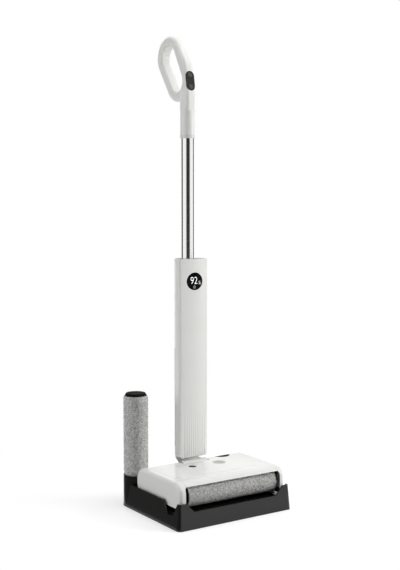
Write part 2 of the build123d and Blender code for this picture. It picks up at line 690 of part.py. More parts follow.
def scraper_bar():
    low = ROLLER_Z + 8.5
    tip = ROLLER_Y + (ROLLER_R ** 2 - 8.5 ** 2) ** 0.5 + 0.4
    return block(ROLLER_LEFT + 6, ROLLER_RIGHT - 6, tip, BAY_WALL_Y, low, low + 3)


def spray_bar():
    bar = rod_x(ROLLER_LEFT + 8, ROLLER_RIGHT - 8, BAY_WALL_Y - 3, BAY_WALL_TOP - 4, 3)
    return bar - rod_x(ROLLER_LEFT + 10, ROLLER_RIGHT - 10, BAY_WALL_Y - 3, BAY_WALL_TOP - 4, 1.8)


def drive_motor():
    can = rod_x(drive_wall_x, drive_wall_x + MOTOR_LENGTH, MOTOR_Y, MOTOR_Z, MOTOR_R)
    return can - rod_x(drive_wall_x - 1, drive_wall_x + SHAFT_DEPTH, MOTOR_Y, MOTOR_Z, MOTOR_SHAFT_R + RUNNING)


def suction_duct():
    end = TILT_Y - BARREL_R - 1.5
    duct = rod_y(0, DIRTY_REAR + SLIDING, end, DUCT_Z, DUCT_R)
    return duct - rod_y(0, DIRTY_REAR - 1, end + 1, DUCT_Z, DUCT_BORE_R)


def charge_block():
    disc = rod_z(CHARGE_X, CHARGE_Y, CHARGE_LOW, HEAD_TOP + 1, CHARGE_R)
    insert = (head_outer - head_volume(CHARGE_T, 10)) & disc
    for x in contact_places:
        insert -= rod_y(x, HEAD_REAR - 2 * CHARGE_T, HEAD_REAR + 1, PAD_Z, PAD_R + SEAT)
    return insert


def charge_pads():
    return [rod_y(x, HEAD_REAR - CHARGE_T, HEAD_REAR, PAD_Z, PAD_R) for x in contact_places]


cup_floor = roof - RELEASE_T - RELEASE_TRAVEL


def release_cup(spread):
    """The cup under the lid that guides the release button, spread for clearance."""
    return rod_z(*RELEASE, cup_floor - RELEASE_CUP_FLOOR - spread, roof, RELEASE_R + RELEASE_CUP_WALL + spread)


def tank_lid():
    plate = head_skin & block(PANEL_LEFT, PANEL_RIGHT, COVER_REAR + SEAM, LID_REAR, WINDOW_TOP, HEAD_TOP + 1)
    plate -= cover_groove()
    plate += release_cup(0)
    plate -= rod_z(*RELEASE, cup_floor, HEAD_TOP + 1, RELEASE_R + SLIDING)
    plate -= rod_z(*RELEASE, 0, HEAD_TOP, RELEASE_STEM_R + RUNNING)
    return plate - rod_z(*WINDOW_LENS, HEAD_TOP - WINDOW_LENS_T, HEAD_TOP + 1, WINDOW_LENS_R + SEAT)


def release_button():
    low = roof - RELEASE_T + 2
    button = rod_z(*RELEASE, low, HEAD_TOP, RELEASE_R)
    dish_r = (RELEASE_R ** 2 + RELEASE_DISH ** 2) / (2 * RELEASE_DISH)
    button -= Pos(*RELEASE, HEAD_TOP + dish_r - RELEASE_DISH) * Sphere(dish_r)
    return button + rod_z(*RELEASE, low - 10, low, RELEASE_STEM_R)


def level_window():
    return rod_z(*WINDOW_LENS, HEAD_TOP - WINDOW_LENS_T, HEAD_TOP - 0.2, WINDOW_LENS_R)


def dirty_tank():
    low = chassis_top + SEAM
    tub = block(DIRTY_LEFT, DIRTY_RIGHT, DIRTY_FRONT, DIRTY_REAR, low, roof)
    tub = fillet(tub.edges().filter_by(Axis.Z), 6)
    hollow = block(
        DIRTY_LEFT + DIRTY_WALL, DIRTY_RIGHT - DIRTY_WALL, DIRTY_FRONT + DIRTY_WALL, DIRTY_REAR - DIRTY_WALL,
        low + DIRTY_WALL, HEAD_TOP)
    hollow = fillet(hollow.edges().filter_by(Axis.Z), 6 - DIRTY_WALL)
    tub -= hollow
    tub -= release_cup(SEAM)
    return tub - rod_y(0, DIRTY_REAR - 5, DIRTY_REAR + 1, DUCT_Z, DUCT_BORE_R)


def rear_wheel(side):
    low, high = side * WHEEL_X - WHEEL_W / 2, side * WHEEL_X + WHEEL_W / 2
    centre = WHEEL_BASE + WHEEL_R
    wheel = rod_x(low, high, WHEEL_Y, centre, WHEEL_R)
    wheel = fillet(wheel.edges(), 2.5)
    for start, end in ((low - 1, low + 3), (high - 3, high + 1)):
        wheel -= rod_x(start, end, WHEEL_Y, centre, WHEEL_R - 5) - rod_x(start, end, WHEEL_Y, centre, 5)
    return wheel - rod_x(low - 1, high + 1, WHEEL_Y, centre, WHEEL_AXLE_R + RUNNING)


def wheel_axles():
    reach = WHEEL_W / 2 + 4
    return [rod_x(side * WHEEL_X - reach, side * WHEEL_X + reach, WHEEL_Y, WHEEL_BASE + WHEEL_R, WHEEL_AXLE_R)
            for side in (-1, 1)]


# Neck

ring_low = BODY_BOTTOM + BODY_WALL + SWIVEL_PLATE_T + SLIDING


def tilt_pin():
    reach = RECESS_W / 2 + TILT_EAR_T
    return rod_x(-reach, reach, TILT_Y, TILT_Z, TILT_PIN_R)


def neck_yoke():
    barrel_end = Pos(TILT_Y, TILT_Z) * Circle(BARREL_R)
    foot = Pos(STEM_Y, NECK_FLANGE_TOP - 5) * Rectangle(2 * NECK_FLANGE_R - 6, 3)
    arm = prism_x(make_hull(barrel_end.edges() + foot.edges()), -NECK_ARM_W / 2, NECK_ARM_W / 2)
    yoke = arm + rod_x(-BARREL_W / 2, BARREL_W / 2, TILT_Y, TILT_Z, BARREL_R)
    yoke += rod_z(0, STEM_Y, NECK_FLANGE_TOP - 5, NECK_FLANGE_TOP, NECK_FLANGE_R)
    yoke += rod_z(0, STEM_Y, NECK_FLANGE_TOP - 2, SPIGOT_TOP, SPIGOT_R)
    yoke -= rod_z(0, STEM_Y, NECK_FLANGE_TOP - 3, SPIGOT_TOP + 1, SPIGOT_BORE_R)
    groove = rod_z(0, STEM_Y, ring_low - SEAT, ring_low + RING_T + SEAT, SPIGOT_R + 1)
    yoke -= groove - rod_z(0, STEM_Y, 0, SPIGOT_TOP, SPIGOT_R - RING_GROOVE)
    return yoke - rod_x(-BARREL_W, BARREL_W, TILT_Y, TILT_Z, TILT_PIN_R + RUNNING)


def swivel_ring():
    ring = rod_z(0, STEM_Y, ring_low, ring_low + RING_T, RING_R)
    ring -= rod_z(0, STEM_Y, 0, SPIGOT_TOP, SPIGOT_R - RING_GROOVE + SEAT)
    return ring - block(-4, 4, STEM_Y, STEM_Y + RING_R + 1, 0, SPIGOT_TOP)


# Upright body: everything here is drawn round the tube's axis, then set on the neck

on_stem = Pos(0, STEM_Y, 0)


def body_section(inset):
    """The body's bowed front, straight sides and round back."""
    half = BODY_W / 2 - inset
    edge = BODY_EDGE - inset
    outline = ThreePointArc((-half, -edge), (0, inset - BODY_FRONT), (half, -edge))
    outline += Line((half, -edge), (half, BODY_BACK_CENTRE))
    outline += ThreePointArc((half, BODY_BACK_CENTRE), (0, BODY_BACK_CENTRE + half), (-half, BODY_BACK_CENTRE))
    outline += Line((-half, BODY_BACK_CENTRE), (-half, -edge))
    face = make_face(outline)
    corners = [face.vertices().sort_by_distance((x, -edge, 0))[0] for x in (-half, half)]
    return fillet(corners, max(BODY_CORNER_R - inset, 0.6))


def body_volume(inset, top):
    """The body's outside form drawn in by a wall, up to a height."""
    half = BODY_W / 2 - inset
    low = BODY_BOTTOM + inset
    front = inset - BODY_FRONT
    back = BODY_BACK_CENTRE + half
    lower_r = BODY_LOWER_R - inset
    face_on = rounded_polygon(
        [(-half, low), (half, low), (half, top), (-half, top)], [((x, low), lower_r) for x in (-half, half)])
    side_on = rounded_polygon(
        [(front, low), (back, low), (back, top), (front, top)],
        [((front, low), lower_r / 2), ((back, low), lower_r)])
    volume = prism_z(body_section(inset), low, top)
    return volume & prism_y(face_on, front, back) & prism_x(side_on, -half, half)


body_outer = body_volume(0, BODY_TOP)
finger_scoop = Pos(0, FINGER_Y, FINGER_Z) * Sphere(FINGER_R)
finger_liner = Pos(0, FINGER_Y, FINGER_Z) * Sphere(FINGER_R + BODY_WALL)
body_room = body_volume(BODY_WALL, BODY_TOP + 1)
body_skin = body_outer - finger_scoop - (body_room - finger_liner)
body_skin -= rod_z(0, 0, 0, BODY_BOTTOM + 2 * BODY_WALL, SPIGOT_R + 1)
bay_low = TANK_LOW - TANK_GAP
bay_top = TANK_TOP + TANK_TOP_GAP
partition_y = TANK_FRONT - TANK_GAP
display_shape = Pos(0, DISPLAY_Z) * Ellipse(DISPLAY_W / 2, DISPLAY_H / 2)


def flutes():
    """Shallow upright channels in the front that run out to nothing at their tops."""
    length = FLUTE_TOP - BODY_BOTTOM
    slope = FLUTE_DEPTH / length
    cuts = []
    for column in range(FLUTE_COUNT):
        x = (column - (FLUTE_COUNT - 1) / 2) * FLUTE_PITCH
        bow = (BODY_FRONT - BODY_EDGE) * (2 * x / BODY_W) ** 2
        foot = Vector(x, bow - BODY_FRONT - FLUTE_R + FLUTE_DEPTH, BODY_BOTTOM - 1)
        axis = Plane(origin=foot, z_dir=(0, -slope, 1))
        cuts.append(axis * Pos(0, 0, length / 2) * Cylinder(FLUTE_R, length))
    return cuts


def front_cover():
    cover = body_skin & block(-BODY_W, BODY_W, -BODY_W, SPLIT_Y - SPLIT_GAP, 0, BODY_TOP)
    cover -= prism_y(display_shape, -BODY_W, 0)
    for cut in flutes():
        cover -= cut
    return on_stem * cover


def rear_shell():
    behind = block(-BODY_W, BODY_W, SPLIT_Y, BODY_W, 0, BODY_TOP)
    shell = body_skin & behind
    shell -= block(-BODY_W, BODY_W, TANK_FRONT - SEAM, BODY_W, bay_low, bay_top)
    fill = body_volume(BODY_WALL / 2, BODY_TOP)
    shelves = block(-BODY_W, BODY_W, partition_y - PARTITION_T, partition_y, bay_low - PARTITION_T, bay_top + PARTITION_T)
    shelves += block(-BODY_W, BODY_W, SPLIT_Y + 2, BODY_W, bay_top, bay_top + PARTITION_T)
    shelves += block(-BODY_W, BODY_W, partition_y - PARTITION_T, BODY_W, bay_low - PARTITION_T, bay_low)
    shelves -= finger_scoop
    return on_stem * (shell + (fill & shelves))


def top_cap():
    high = BODY_TOP - TOP_CAP_SINK
    cap = prism_z(body_section(BODY_WALL + SEAM), high - TOP_CAP_T, high)
    return on_stem * (cap - rod_z(0, 0, 0, 2 * BODY_TOP, TUBE_R + SEAT))


def bottom_cap():
    low = BODY_BOTTOM + BODY_WALL
    plate = body_volume(BODY_WALL + SLIDING, BODY_TOP) & block(
        -BODY_W, BODY_W, -BODY_W, BODY_W, low, low + SWIVEL_PLATE_T)
    return on_stem * (plate - rod_z(0, 0, 0, BODY_TOP, SPIGOT_R + RUNNING))


def display_lens():
    pane = body_volume(0.15, BODY_TOP) - body_volume(0.15 + DISPLAY_T, BODY_TOP)
    shape = Pos(0, DISPLAY_Z) * Ellipse(DISPLAY_W / 2 - 0.2, DISPLAY_H / 2 - 0.2)
    return on_stem * (pane & prism_y(shape, -BODY_W, SPLIT_Y))


def display_board():
    plate = body_volume(BODY_WALL + 0.1, BODY_TOP) - body_volume(BODY_WALL + 1.7, BODY_TOP)
    shape = Pos(0, DISPLAY_Z) * Rectangle(BODY_W / 2 + 8, DISPLAY_H + 4)
    return on_stem * (plate & prism_y(shape, -BODY_W, SPLIT_Y + 2))


def battery_pack():
    y = partition_y - PARTITION_T - CELL_R
    high = BATTERY_LOW + CELL_ROWS * CELL_LENGTH
    half = (CELL_COLUMNS - 1) * CELL_R
    pack = block(-half, half, y - CELL_R + 2, y + CELL_R, BATTERY_LOW, high)
    for column in range(CELL_COLUMNS):
        pack += rod_z(2 * CELL_R * column - half, y, BATTERY_LOW, high, CELL_R)
    return on_stem * pack


def pump():
    y = partition_y - PARTITION_T - PUMP_R - SEAT
    body = rod_z(0, y, PUMP_LOW, PUMP_LOW + PUMP_LENGTH, PUMP_R)
    body += rod_z(0, y, PUMP_LOW + PUMP_LENGTH, PUMP_LOW + PUMP_LENGTH + 6, PUMP_R / 3)
    return on_stem * body


def inlet_filter():
    low = bay_top + PARTITION_T
    y = FAN_Y - 5
    pleats = rod_z(0, y, low, FILTER_TOP, FILTER_R)
    for step in range(24):
        turn = Rot(0, 0, 15 * step)
        pleats -= Pos(0, y, (low + FILTER_TOP) / 2) * turn * Pos(FILTER_R, 0, 0) * Box(3, 1, FILTER_TOP - low - 6)
    return on_stem * pleats


def fan_housing():
    low = FILTER_TOP
    cup = rod_z(0, FAN_Y, low, FAN_TOP, FAN_R)
    cup -= rod_z(0, FAN_Y, low + FAN_WALL, low + FAN_WALL + IMPELLER_H + 4, FAN_R - FAN_WALL)
    cup -= rod_z(0, FAN_Y, low - 1, low + FAN_WALL + 1, FILTER_R - 5)
    return on_stem * (cup - rod_z(0, FAN_Y, low, FAN_TOP - 8, MOTOR_SHAFT_R + RUNNING))


def fan_wheel():
    low = FILTER_TOP + FAN_WALL + 2
    wheel = rod_z(0, FAN_Y, low + IMPELLER_H - 2, low + IMPELLER_H, IMPELLER_R)
    wheel += rod_z(0, FAN_Y, low, low + IMPELLER_H, 5)
    for step in range(IMPELLER_BLADES):
        turn = Rot(0, 0, 360 * step / IMPELLER_BLADES)
        blade = Pos(IMPELLER_R / 2 + 1, 2, 0) * Rot(0, 0, 20) * Box(IMPELLER_R - 5, 1, IMPELLER_H)
        wheel += Pos(0, FAN_Y, low + IMPELLER_H / 2) * turn * blade
    return on_stem * (wheel + rod_z(0, FAN_Y, low, FAN_TOP - 10, MOTOR_SHAFT_R))


def water_tank():
    outer = body_outer & block(-BODY_W, BODY_W, TANK_FRONT, BODY_W, TANK_LOW, TANK_TOP)
    room = body_volume(TANK_WALL, BODY_TOP) & block(
        -BODY_W, BODY_W, TANK_FRONT + TANK_WALL, BODY_W, TANK_LOW + TANK_WALL, TANK_TOP - TANK_WALL)
    foot = rod_x(-TANK_FOOT_W / 2, TANK_FOOT_W / 2, TANK_FOOT_Y, TANK_FOOT_Z, TANK_FOOT_R)
    tank = outer + foot - room
    return on_stem * (tank - rod_z(0, STOPPER_Y, TANK_TOP - 5, TANK_TOP + 1, STOPPER_R))


def tank_stopper():
    plug = rod_z(0, STOPPER_Y, TANK_TOP - 8, TANK_TOP, STOPPER_R - SEAT)
    return on_stem * (plug + rod_z(0, STOPPER_Y, TANK_TOP, TANK_TOP + 0.8, STOPPER_R + 2))


# Tube and handle

def tube():
    pipe = rod_z(0, 0, TUBE_LOW, TUBE_TOP, TUBE_R)
    return on_stem * (pipe - rod_z(0, 0, 0, 2 * TUBE_TOP, TUBE_R - TUBE_WALL))


def tube_collar():
    ring = rod_z(0, 0, COLLAR_LOW, COLLAR_LOW + COLLAR_H, STEM_R)
    return on_stem * (ring - rod_z(0, 0, 0, TUBE_TOP, TUBE_R + SEAT))


lean = radians(LOOP_LEAN)
loop_along = Vector(sin(lean), cos(lean))
loop_across = Vector(cos(lean), -sin(lean))
loop_top = Vector(LOOP_TOP_Y, LOOP_TOP_Z)
loop_foot = loop_top - loop_along * LOOP_LENGTH
loop_r = LOOP_GAP_R + LOOP_BAR
panel_slope = tan(radians(PANEL_LEAN))


def loop_gap(spread):
    """The gap that the fingers go through, seen from the side and spread outwards."""
    gap_foot = loop_foot + loop_across * (LOOP_GAP_R - LOOP_FOOT_GAP_R)
    return round_hull(loop_top, LOOP_GAP_R + spread, gap_foot, LOOP_FOOT_GAP_R + spread)


def loop_outline():
    """The handle seen from the side: a straight front, a leaning loop and a hollow under it."""
    start = loop_top - loop_across * loop_r
    crown = loop_top + loop_along * loop_r
    back = loop_top + loop_across * loop_r
    heel = loop_foot + loop_across * loop_r
    bend = loop_foot + (loop_across - loop_along).normalized() * loop_r
    under = Vector(loop_foot.X, loop_foot.Y - loop_r)
    slope = tan(lean)
    rise = (start.Y - PANEL_FOOT_Z - (start.X + STEM_R) / slope) / (1 - panel_slope / slope)
    knee = Vector(panel_slope * rise - STEM_R, PANEL_FOOT_Z + rise)
    chin = Vector(-STEM_R, PANEL_FOOT_Z)
    outline = Polyline((STEM_R, under.Y), (STEM_R, LOOP_LOW_Z), (-STEM_R, LOOP_LOW_Z), chin, knee, start)
    outline += ThreePointArc(start, crown, back)
    outline += Line(back, heel)
    outline += ThreePointArc(heel, bend, under)
    outline += Line(under, (STEM_R, under.Y))
    face = make_face(outline)
    for place, radius in ((chin, 60), (knee, 60), (Vector(STEM_R, under.Y), 6)):
        face = fillet(face.vertices().sort_by_distance((place.X, place.Y, 0))[0], radius)
    return face - loop_gap(0)


def on_panel(depth):
    """A plane on the handle's front at the middle of the button panel, sunk by a depth."""
    y = panel_slope * (PANEL_Z - PANEL_FOOT_Z) - STEM_R
    inward = Vector(0, cos(radians(PANEL_LEAN)), -sin(radians(PANEL_LEAN)))
    return Plane(origin=Vector(0, y, PANEL_Z) + inward * depth, x_dir=(1, 0, 0), z_dir=-inward)


def handle():
    slab = prism_x(loop_outline(), -LOOP_W / 2, LOOP_W / 2)
    sides = slab.faces().sort_by(Axis.X)
    slab = fillet(sides[0].outer_wire().edges() + sides[-1].outer_wire().edges(), LOOP_EDGE_R)
    sides = slab.faces().filter_by(GeomType.PLANE).sort_by(Axis.X)
    slab = fillet(sides[0].inner_wires()[0].edges() + sides[-1].inner_wires()[0].edges(), LOOP_GAP_EDGE_R)
    low = COLLAR_LOW + COLLAR_H
    stem = rod_z(0, 0, low, STEM_TOP, STEM_R)
    neck = loft([Pos(0, 0, STEM_TOP) * Circle(STEM_R), Pos(0, 0, STEM_TOP + 32) * Ellipse(LOOP_W / 2 - 1, STEM_R - 2.5)])
    neck -= prism_x(loop_gap(LOOP_GAP_EDGE_R), -LOOP_W, LOOP_W)
    body = slab + stem + neck
    body -= rod_z(0, 0, 0, TUBE_TOP, TUBE_R + SEAT)
    recess = on_panel(PANEL_T) * extrude(SlotOverall(PANEL_L + 0.4, PANEL_W + 0.4, rotation=90), 4 * PANEL_T)
    pocket = on_panel(POCKET_DEPTH) * extrude(SlotOverall(PANEL_L - 6, PANEL_W - 6, rotation=90), POCKET_DEPTH)
    return body - recess - pocket


whole_handle = handle()


def handle_half(side):
    low, high = sorted((0, side * BODY_W))
    return on_stem * (whole_handle & block(low, high, -2 * BODY_W, 4 * BODY_W, 0, 2 * TUBE_TOP))


button_offsets = {"mode_button": -BUTTON_PITCH / 2, "power_button": BUTTON_PITCH / 2}


def button_panel():
    plate = on_panel(PANEL_T) * extrude(SlotOverall(PANEL_L, PANEL_W, rotation=90), PANEL_T)
    for offset in button_offsets.values():
        plate -= on_panel(2 * PANEL_T) * Pos(0, offset, 0) * extrude(Circle(BUTTON_R + SLIDING), 4 * PANEL_T)
    return on_stem * plate


def handle_button(name):
    seat = on_panel(BUTTON_T - BUTTON_PROUD) * Pos(0, button_offsets[name], 0)
    cap = seat * extrude(Circle(BUTTON_R), BUTTON_T)
    return on_stem * fillet(cap.edges().sort_by(Axis.Y)[0], 0.5)


def switch_board():
    board = on_panel(POCKET_DEPTH) * extrude(SlotOverall(PANEL_L - 7, PANEL_W - 7, rotation=90), 1.6)
    reach = POCKET_DEPTH - BUTTON_T + BUTTON_PROUD - BUTTON_TRAVEL - 0.4
    for offset in button_offsets.values():
        board += on_panel(POCKET_DEPTH) * Pos(0, offset, 0) * extrude(Circle(2.5), reach)
    return on_stem * board


pieces = {
    "dock_tray": dock_tray(),
    "dock_base": dock_base(),
    "dock_feet": dock_feet(),
    "dock_screws": dock_screws(),
    "contact_pins": contact_pins(),
    "wheel_rests": wheel_rests(),
    "dc_inlet": dc_inlet(),
    "spare_sleeve": spare_sleeve(),
    "spare_core": spare_core(),
    "spare_caps": spare_caps(),
    "head_shell": head_shell(),
    "head_chassis": head_chassis(),
    "head_screws": head_screws(),
    "roller_cover": roller_cover(),
    "roller_bearings": roller_bearings(),
    "scraper_bar": scraper_bar(),
    "spray_bar": spray_bar(),
    "drive_motor": drive_motor(),
    "drive_belt": drive_belt(),
    "suction_duct": suction_duct(),
    "charge_block": charge_block(),
    "charge_pads": charge_pads(),
    "wheel_axles": wheel_axles(),
    "tilt_pin": tilt_pin(),
    "tank_lid": tank_lid(),
    "level_window": level_window(),
    "dirty_tank": dirty_tank(),
    "release_button": release_button(),
    "roller_axle": roller_axle(),
    "roller_core": roller_core(),
    "roller_sleeve": roller_sleeve(),
    "roller_caps": roller_caps(),
    "roller_pulley": roller_pulley(),
    "motor_pulley": motor_pulley(),
    "wheel_left": rear_wheel(-1),
    "wheel_right": rear_wheel(1),
    "neck_yoke": neck_yoke(),
    "swivel_ring": swivel_ring(),
    "front_cover": front_cover(),
    "rear_shell": rear_shell(),
    "top_cap": top_cap(),
    "bottom_cap": bottom_cap(),
    "display_lens": display_lens(),
    "display_board": display_board(),
    "battery_pack": battery_pack(),
    "pump": pump(),
    "inlet_filter": inlet_filter(),
    "fan_housing": fan_housing(),
    "fan_wheel": fan_wheel(),
    "water_tank": water_tank(),
    "tank_stopper": tank_stopper(),
    "tube": tube(),
    "tube_collar": tube_collar(),
    "handle_left": handle_half(-1),
    "handle_right": handle_half(1),
    "button_panel": button_panel(),
    "switch_board": switch_board(),
    "power_button": handle_button("power_button"),
    "mode_button": handle_button("mode_button"),
}

os.makedirs("parts", exist_ok=True)
for name, piece in pieces.items():
    solids = piece if isinstance(piece, list) else [piece]
    export_step(Compound(children=[solid for part in solids for solid in part.solids()]), f"parts/{name}.step")
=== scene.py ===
import logging
import math
from abc import ABC, abstractmethod
from dataclasses import dataclass, field
from enum import Enum
from typing import ClassVar

import bpy
import numpy as np
from mathutils import Matrix, Vector


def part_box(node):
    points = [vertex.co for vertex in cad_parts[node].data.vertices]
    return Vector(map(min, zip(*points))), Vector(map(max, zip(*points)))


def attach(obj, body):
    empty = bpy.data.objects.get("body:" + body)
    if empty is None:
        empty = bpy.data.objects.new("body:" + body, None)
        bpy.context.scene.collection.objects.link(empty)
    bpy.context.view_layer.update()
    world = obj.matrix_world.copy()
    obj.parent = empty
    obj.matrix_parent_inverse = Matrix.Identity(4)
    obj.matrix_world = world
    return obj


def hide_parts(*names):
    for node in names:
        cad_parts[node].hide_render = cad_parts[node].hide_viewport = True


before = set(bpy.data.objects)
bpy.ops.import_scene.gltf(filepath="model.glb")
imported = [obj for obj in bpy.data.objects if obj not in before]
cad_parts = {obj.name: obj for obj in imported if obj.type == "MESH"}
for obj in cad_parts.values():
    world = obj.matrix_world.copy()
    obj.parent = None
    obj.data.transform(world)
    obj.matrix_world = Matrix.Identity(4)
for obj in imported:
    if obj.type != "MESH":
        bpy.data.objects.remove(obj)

LOG = logging.getLogger("floor_washer")
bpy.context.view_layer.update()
Colour = tuple[float, float, float]
Point = tuple[float, float, float]
Span = tuple[float, float]
Socket = bpy.types.NodeSocket
TURN = 2.0 * math.pi
TINY = 1e-6


class Run(Enum):
    """The way that a roller lies."""

    ACROSS = "x"
    UPRIGHT = "z"


class NodeSheet:
    """The node tree of a material or a world, with short calls that add and join its nodes."""

    def __init__(self, owner: bpy.types.Material | bpy.types.World) -> None:
        """Clear the owner's nodes and add an output.

        Args:
            owner: The material or world that the nodes belong to.
        """
        owner.use_nodes = True
        self.owner = owner
        self.tree = owner.node_tree
        self.tree.nodes.clear()
        kind = "World" if isinstance(owner, bpy.types.World) else "Material"
        self.output = self.add(f"ShaderNodeOutput{kind}")

    @classmethod
    def blank(cls, name: str) -> "NodeSheet":
        """Start the sheet of a new material."""
        return cls(bpy.data.materials.new(name))

    def add(self, kind: str, **settings: object) -> bpy.types.Node:
        """Add a node.

        Args:
            kind: Blender's name for the node type.
            **settings: Properties of the node, such as operation.

        Returns:
            The new node.
        """
        node = self.tree.nodes.new(kind)
        for key, value in settings.items():
            setattr(node, key, value)
        return node

    def join(self, source: Socket, target: Socket) -> None:
        """Link an output to an input."""
        self.tree.links.new(source, target)

    def show(self, shader: Socket) -> None:
        """Join a shader to the sheet's output."""
        self.join(shader, self.output.inputs["Surface"])

    def noise(
        self, scale: float, detail: float = 2.0, stretch: Colour = (1.0, 1.0, 1.0),
        curl: float = 0.0,
    ) -> Socket:
        """Add a noise pattern on Object coordinates.

        Args:
            scale: Waves to a metre.
            detail: Octaves of the noise.
            stretch: How much finer the pattern is along each axis.
            curl: How much the pattern is bent into curls.

        Returns:
            The pattern's value, about 0.5 on average.
        """
        place = self.add("ShaderNodeTexCoord")
        mapping = self.add("ShaderNodeMapping")
        mapping.inputs["Scale"].default_value = stretch
        pattern = self.add("ShaderNodeTexNoise")
        pattern.inputs["Scale"].default_value = scale
        pattern.inputs["Detail"].default_value = detail
        pattern.inputs["Distortion"].default_value = curl
        self.join(place.outputs["Object"], mapping.inputs["Vector"])
        self.join(mapping.outputs["Vector"], pattern.inputs["Vector"])
        return pattern.outputs["Fac"]

    def attribute(self, name: str) -> Socket:
        """Read a number that each vertex of the mesh carries."""
        return self.add("ShaderNodeAttribute", attribute_name=name).outputs["Fac"]

    def spread(
        self, value: Socket, start: Span, end: Span, interpolation: str = "LINEAR",
    ) -> Socket:
        """Carry a value from one range to another.

        Args:
            value: What is carried.
            start: The range it is in.
            end: The new range.
            interpolation: Blender's name for the way from one end to the other.

        Returns:
            The carried value.
        """
        node = self.add("ShaderNodeMapRange", interpolation_type=interpolation)
        for name, number in zip(("From Min", "From Max", "To Min", "To Max"), (*start, *end)):
            node.inputs[name].default_value = number
        self.join(value, node.inputs["Value"])
        return node.outputs["Result"]

    def uneven(self, pattern: Socket, middle: float, swing: float, reach: float = 0.2) -> Socket:
        """Vary a number by a noise pattern.

        Args:
            pattern: The noise, about 0.5 on average.
            middle: The number's middle.
            swing: The share of it that it rises and falls by.
            reach: How far from 0.5 the pattern is where the swing is full.

        Returns:
            The varied number.
        """
        low, high = middle * (1.0 - swing), middle * (1.0 + swing)
        return self.spread(pattern, (0.5 - reach, 0.5 + reach), (low, high))

    def mixer(self, blend: str) -> tuple[Socket, Socket, Socket, Socket]:
        """Add a colour mixer.

        Args:
            blend: Blender's name for the way it mixes.

        Returns:
            Its factor, its two colours and its result.
        """
        node = self.add("ShaderNodeMix", data_type="RGBA", blend_type=blend)
        first, second = (socket for socket in node.inputs if socket.type == "RGBA")
        result = next(socket for socket in node.outputs if socket.type == "RGBA")
        return node.inputs["Factor"], first, second, result

    def between(self, value: Socket, first: Colour, second: Colour) -> Socket:
        """Mix two colours by a value from 0 to 1.

        Args:
            value: The share of the second colour.
            first: The colour at 0.
            second: The colour at 1.

        Returns:
            The mixed colour.
        """
        factor, at_first, at_second, result = self.mixer("MIX")
        at_first.default_value = (*first, 1.0)
        at_second.default_value = (*second, 1.0)
        self.join(value, factor)
        return result

    def times(self, colour: Socket, value: Socket) -> Socket:
        """Darken a colour by a value.

        Args:
            colour: The colour.
            value: What it is multiplied by.

        Returns:
            The darkened colour.
        """
        factor, at_first, at_second, result = self.mixer("MULTIPLY")
        factor.default_value = 1.0
        self.join(colour, at_first)
        self.join(value, at_second)
        return result

    def bump(self, height: Socket, depth: float, strength: float) -> Socket:
        """Turn a height into a bumped normal.

        Args:
            height: The height, from 0 to 1.
            depth: Metres between 0 and 1.
            strength: How much of the bump shows.

        Returns:
            The normal.
        """
        node = self.add("ShaderNodeBump")
        node.inputs["Strength"].default_value = strength
        node.inputs["Distance"].default_value = depth
        self.join(height, node.inputs["Height"])
        return node.outputs["Normal"]

    def surface(self, **numbers: object) -> bpy.types.Node:
        """Add the surface shader and join it to the output.

        Args:
            **numbers: Sockets of the shader, with _ for a space, and what is set on them.

        Returns:
            The shader.
        """
        shader = self.add("ShaderNodeBsdfPrincipled")
        for key, value in numbers.items():
            shader.inputs[key.replace("_", " ")].default_value = value
        self.show(shader.outputs["BSDF"])
        return shader

    def glow(self, strength: float) -> Socket:
        """Add an even white light of some strength."""
        node = self.add("ShaderNodeEmission")
        node.inputs["Strength"].default_value = strength
        return node.outputs["Emission"]

    def larger(self, first: Socket, second: Socket) -> Socket:
        """Give the larger of two values."""
        node = self.add("ShaderNodeMath", operation="MAXIMUM")
        self.join(first, node.inputs[0])
        self.join(second, node.inputs[1])
        return node.outputs["Value"]

    def seen(self) -> Socket:
        """Tell rays that show a background from rays that light the object.

        Returns:
            1 to the camera, in reflections and through clear pieces, and 0 elsewhere.
        """
        path = self.add("ShaderNodeLightPath").outputs
        sharp = self.larger(path["Is Glossy Ray"], path["Is Transmission Ray"])
        return self.larger(path["Is Camera Ray"], sharp)

    def choose(self, share: Socket, first: Socket, second: Socket) -> Socket:
        """Mix two shaders.

        Args:
            share: The share of the second shader, from 0 to 1.
            first: The shader at 0.
            second: The shader at 1.

        Returns:
            The mixed shader.
        """
        node = self.add("ShaderNodeMixShader")
        for source, target in zip((share, first, second), node.inputs):
            self.join(source, target)
        return node.outputs["Shader"]


@dataclass(frozen=True)
class Finish(ABC):
    """A surface finish that any piece can be given."""

    name: str
    tone: Colour
    shade: Colour

    @abstractmethod
    def draw(self, sheet: NodeSheet) -> None:
        """Draw the finish's nodes on an empty sheet."""

    def paint(self, sheet: NodeSheet, pattern: Socket) -> Socket:
        """Give the colour that goes from tone to shade with a pattern."""
        return sheet.between(pattern, self.tone, self.shade)

    def material(self) -> bpy.types.Material:
        """Give the finish's material, made once."""
        title = f"finish_{self.name}"
        found = bpy.data.materials.get(title)
        if found is None:
            sheet = NodeSheet.blank(title)
            self.draw(sheet)
            found = sheet.owner
            found.diffuse_color = (*self.tone, 1.0)
        return found

    def dress(self, *nodes: str) -> None:
        """Give the finish to CAD nodes by name."""
        for name in nodes:
            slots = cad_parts[name].data.materials
            slots.clear()
            slots.append(self.material())


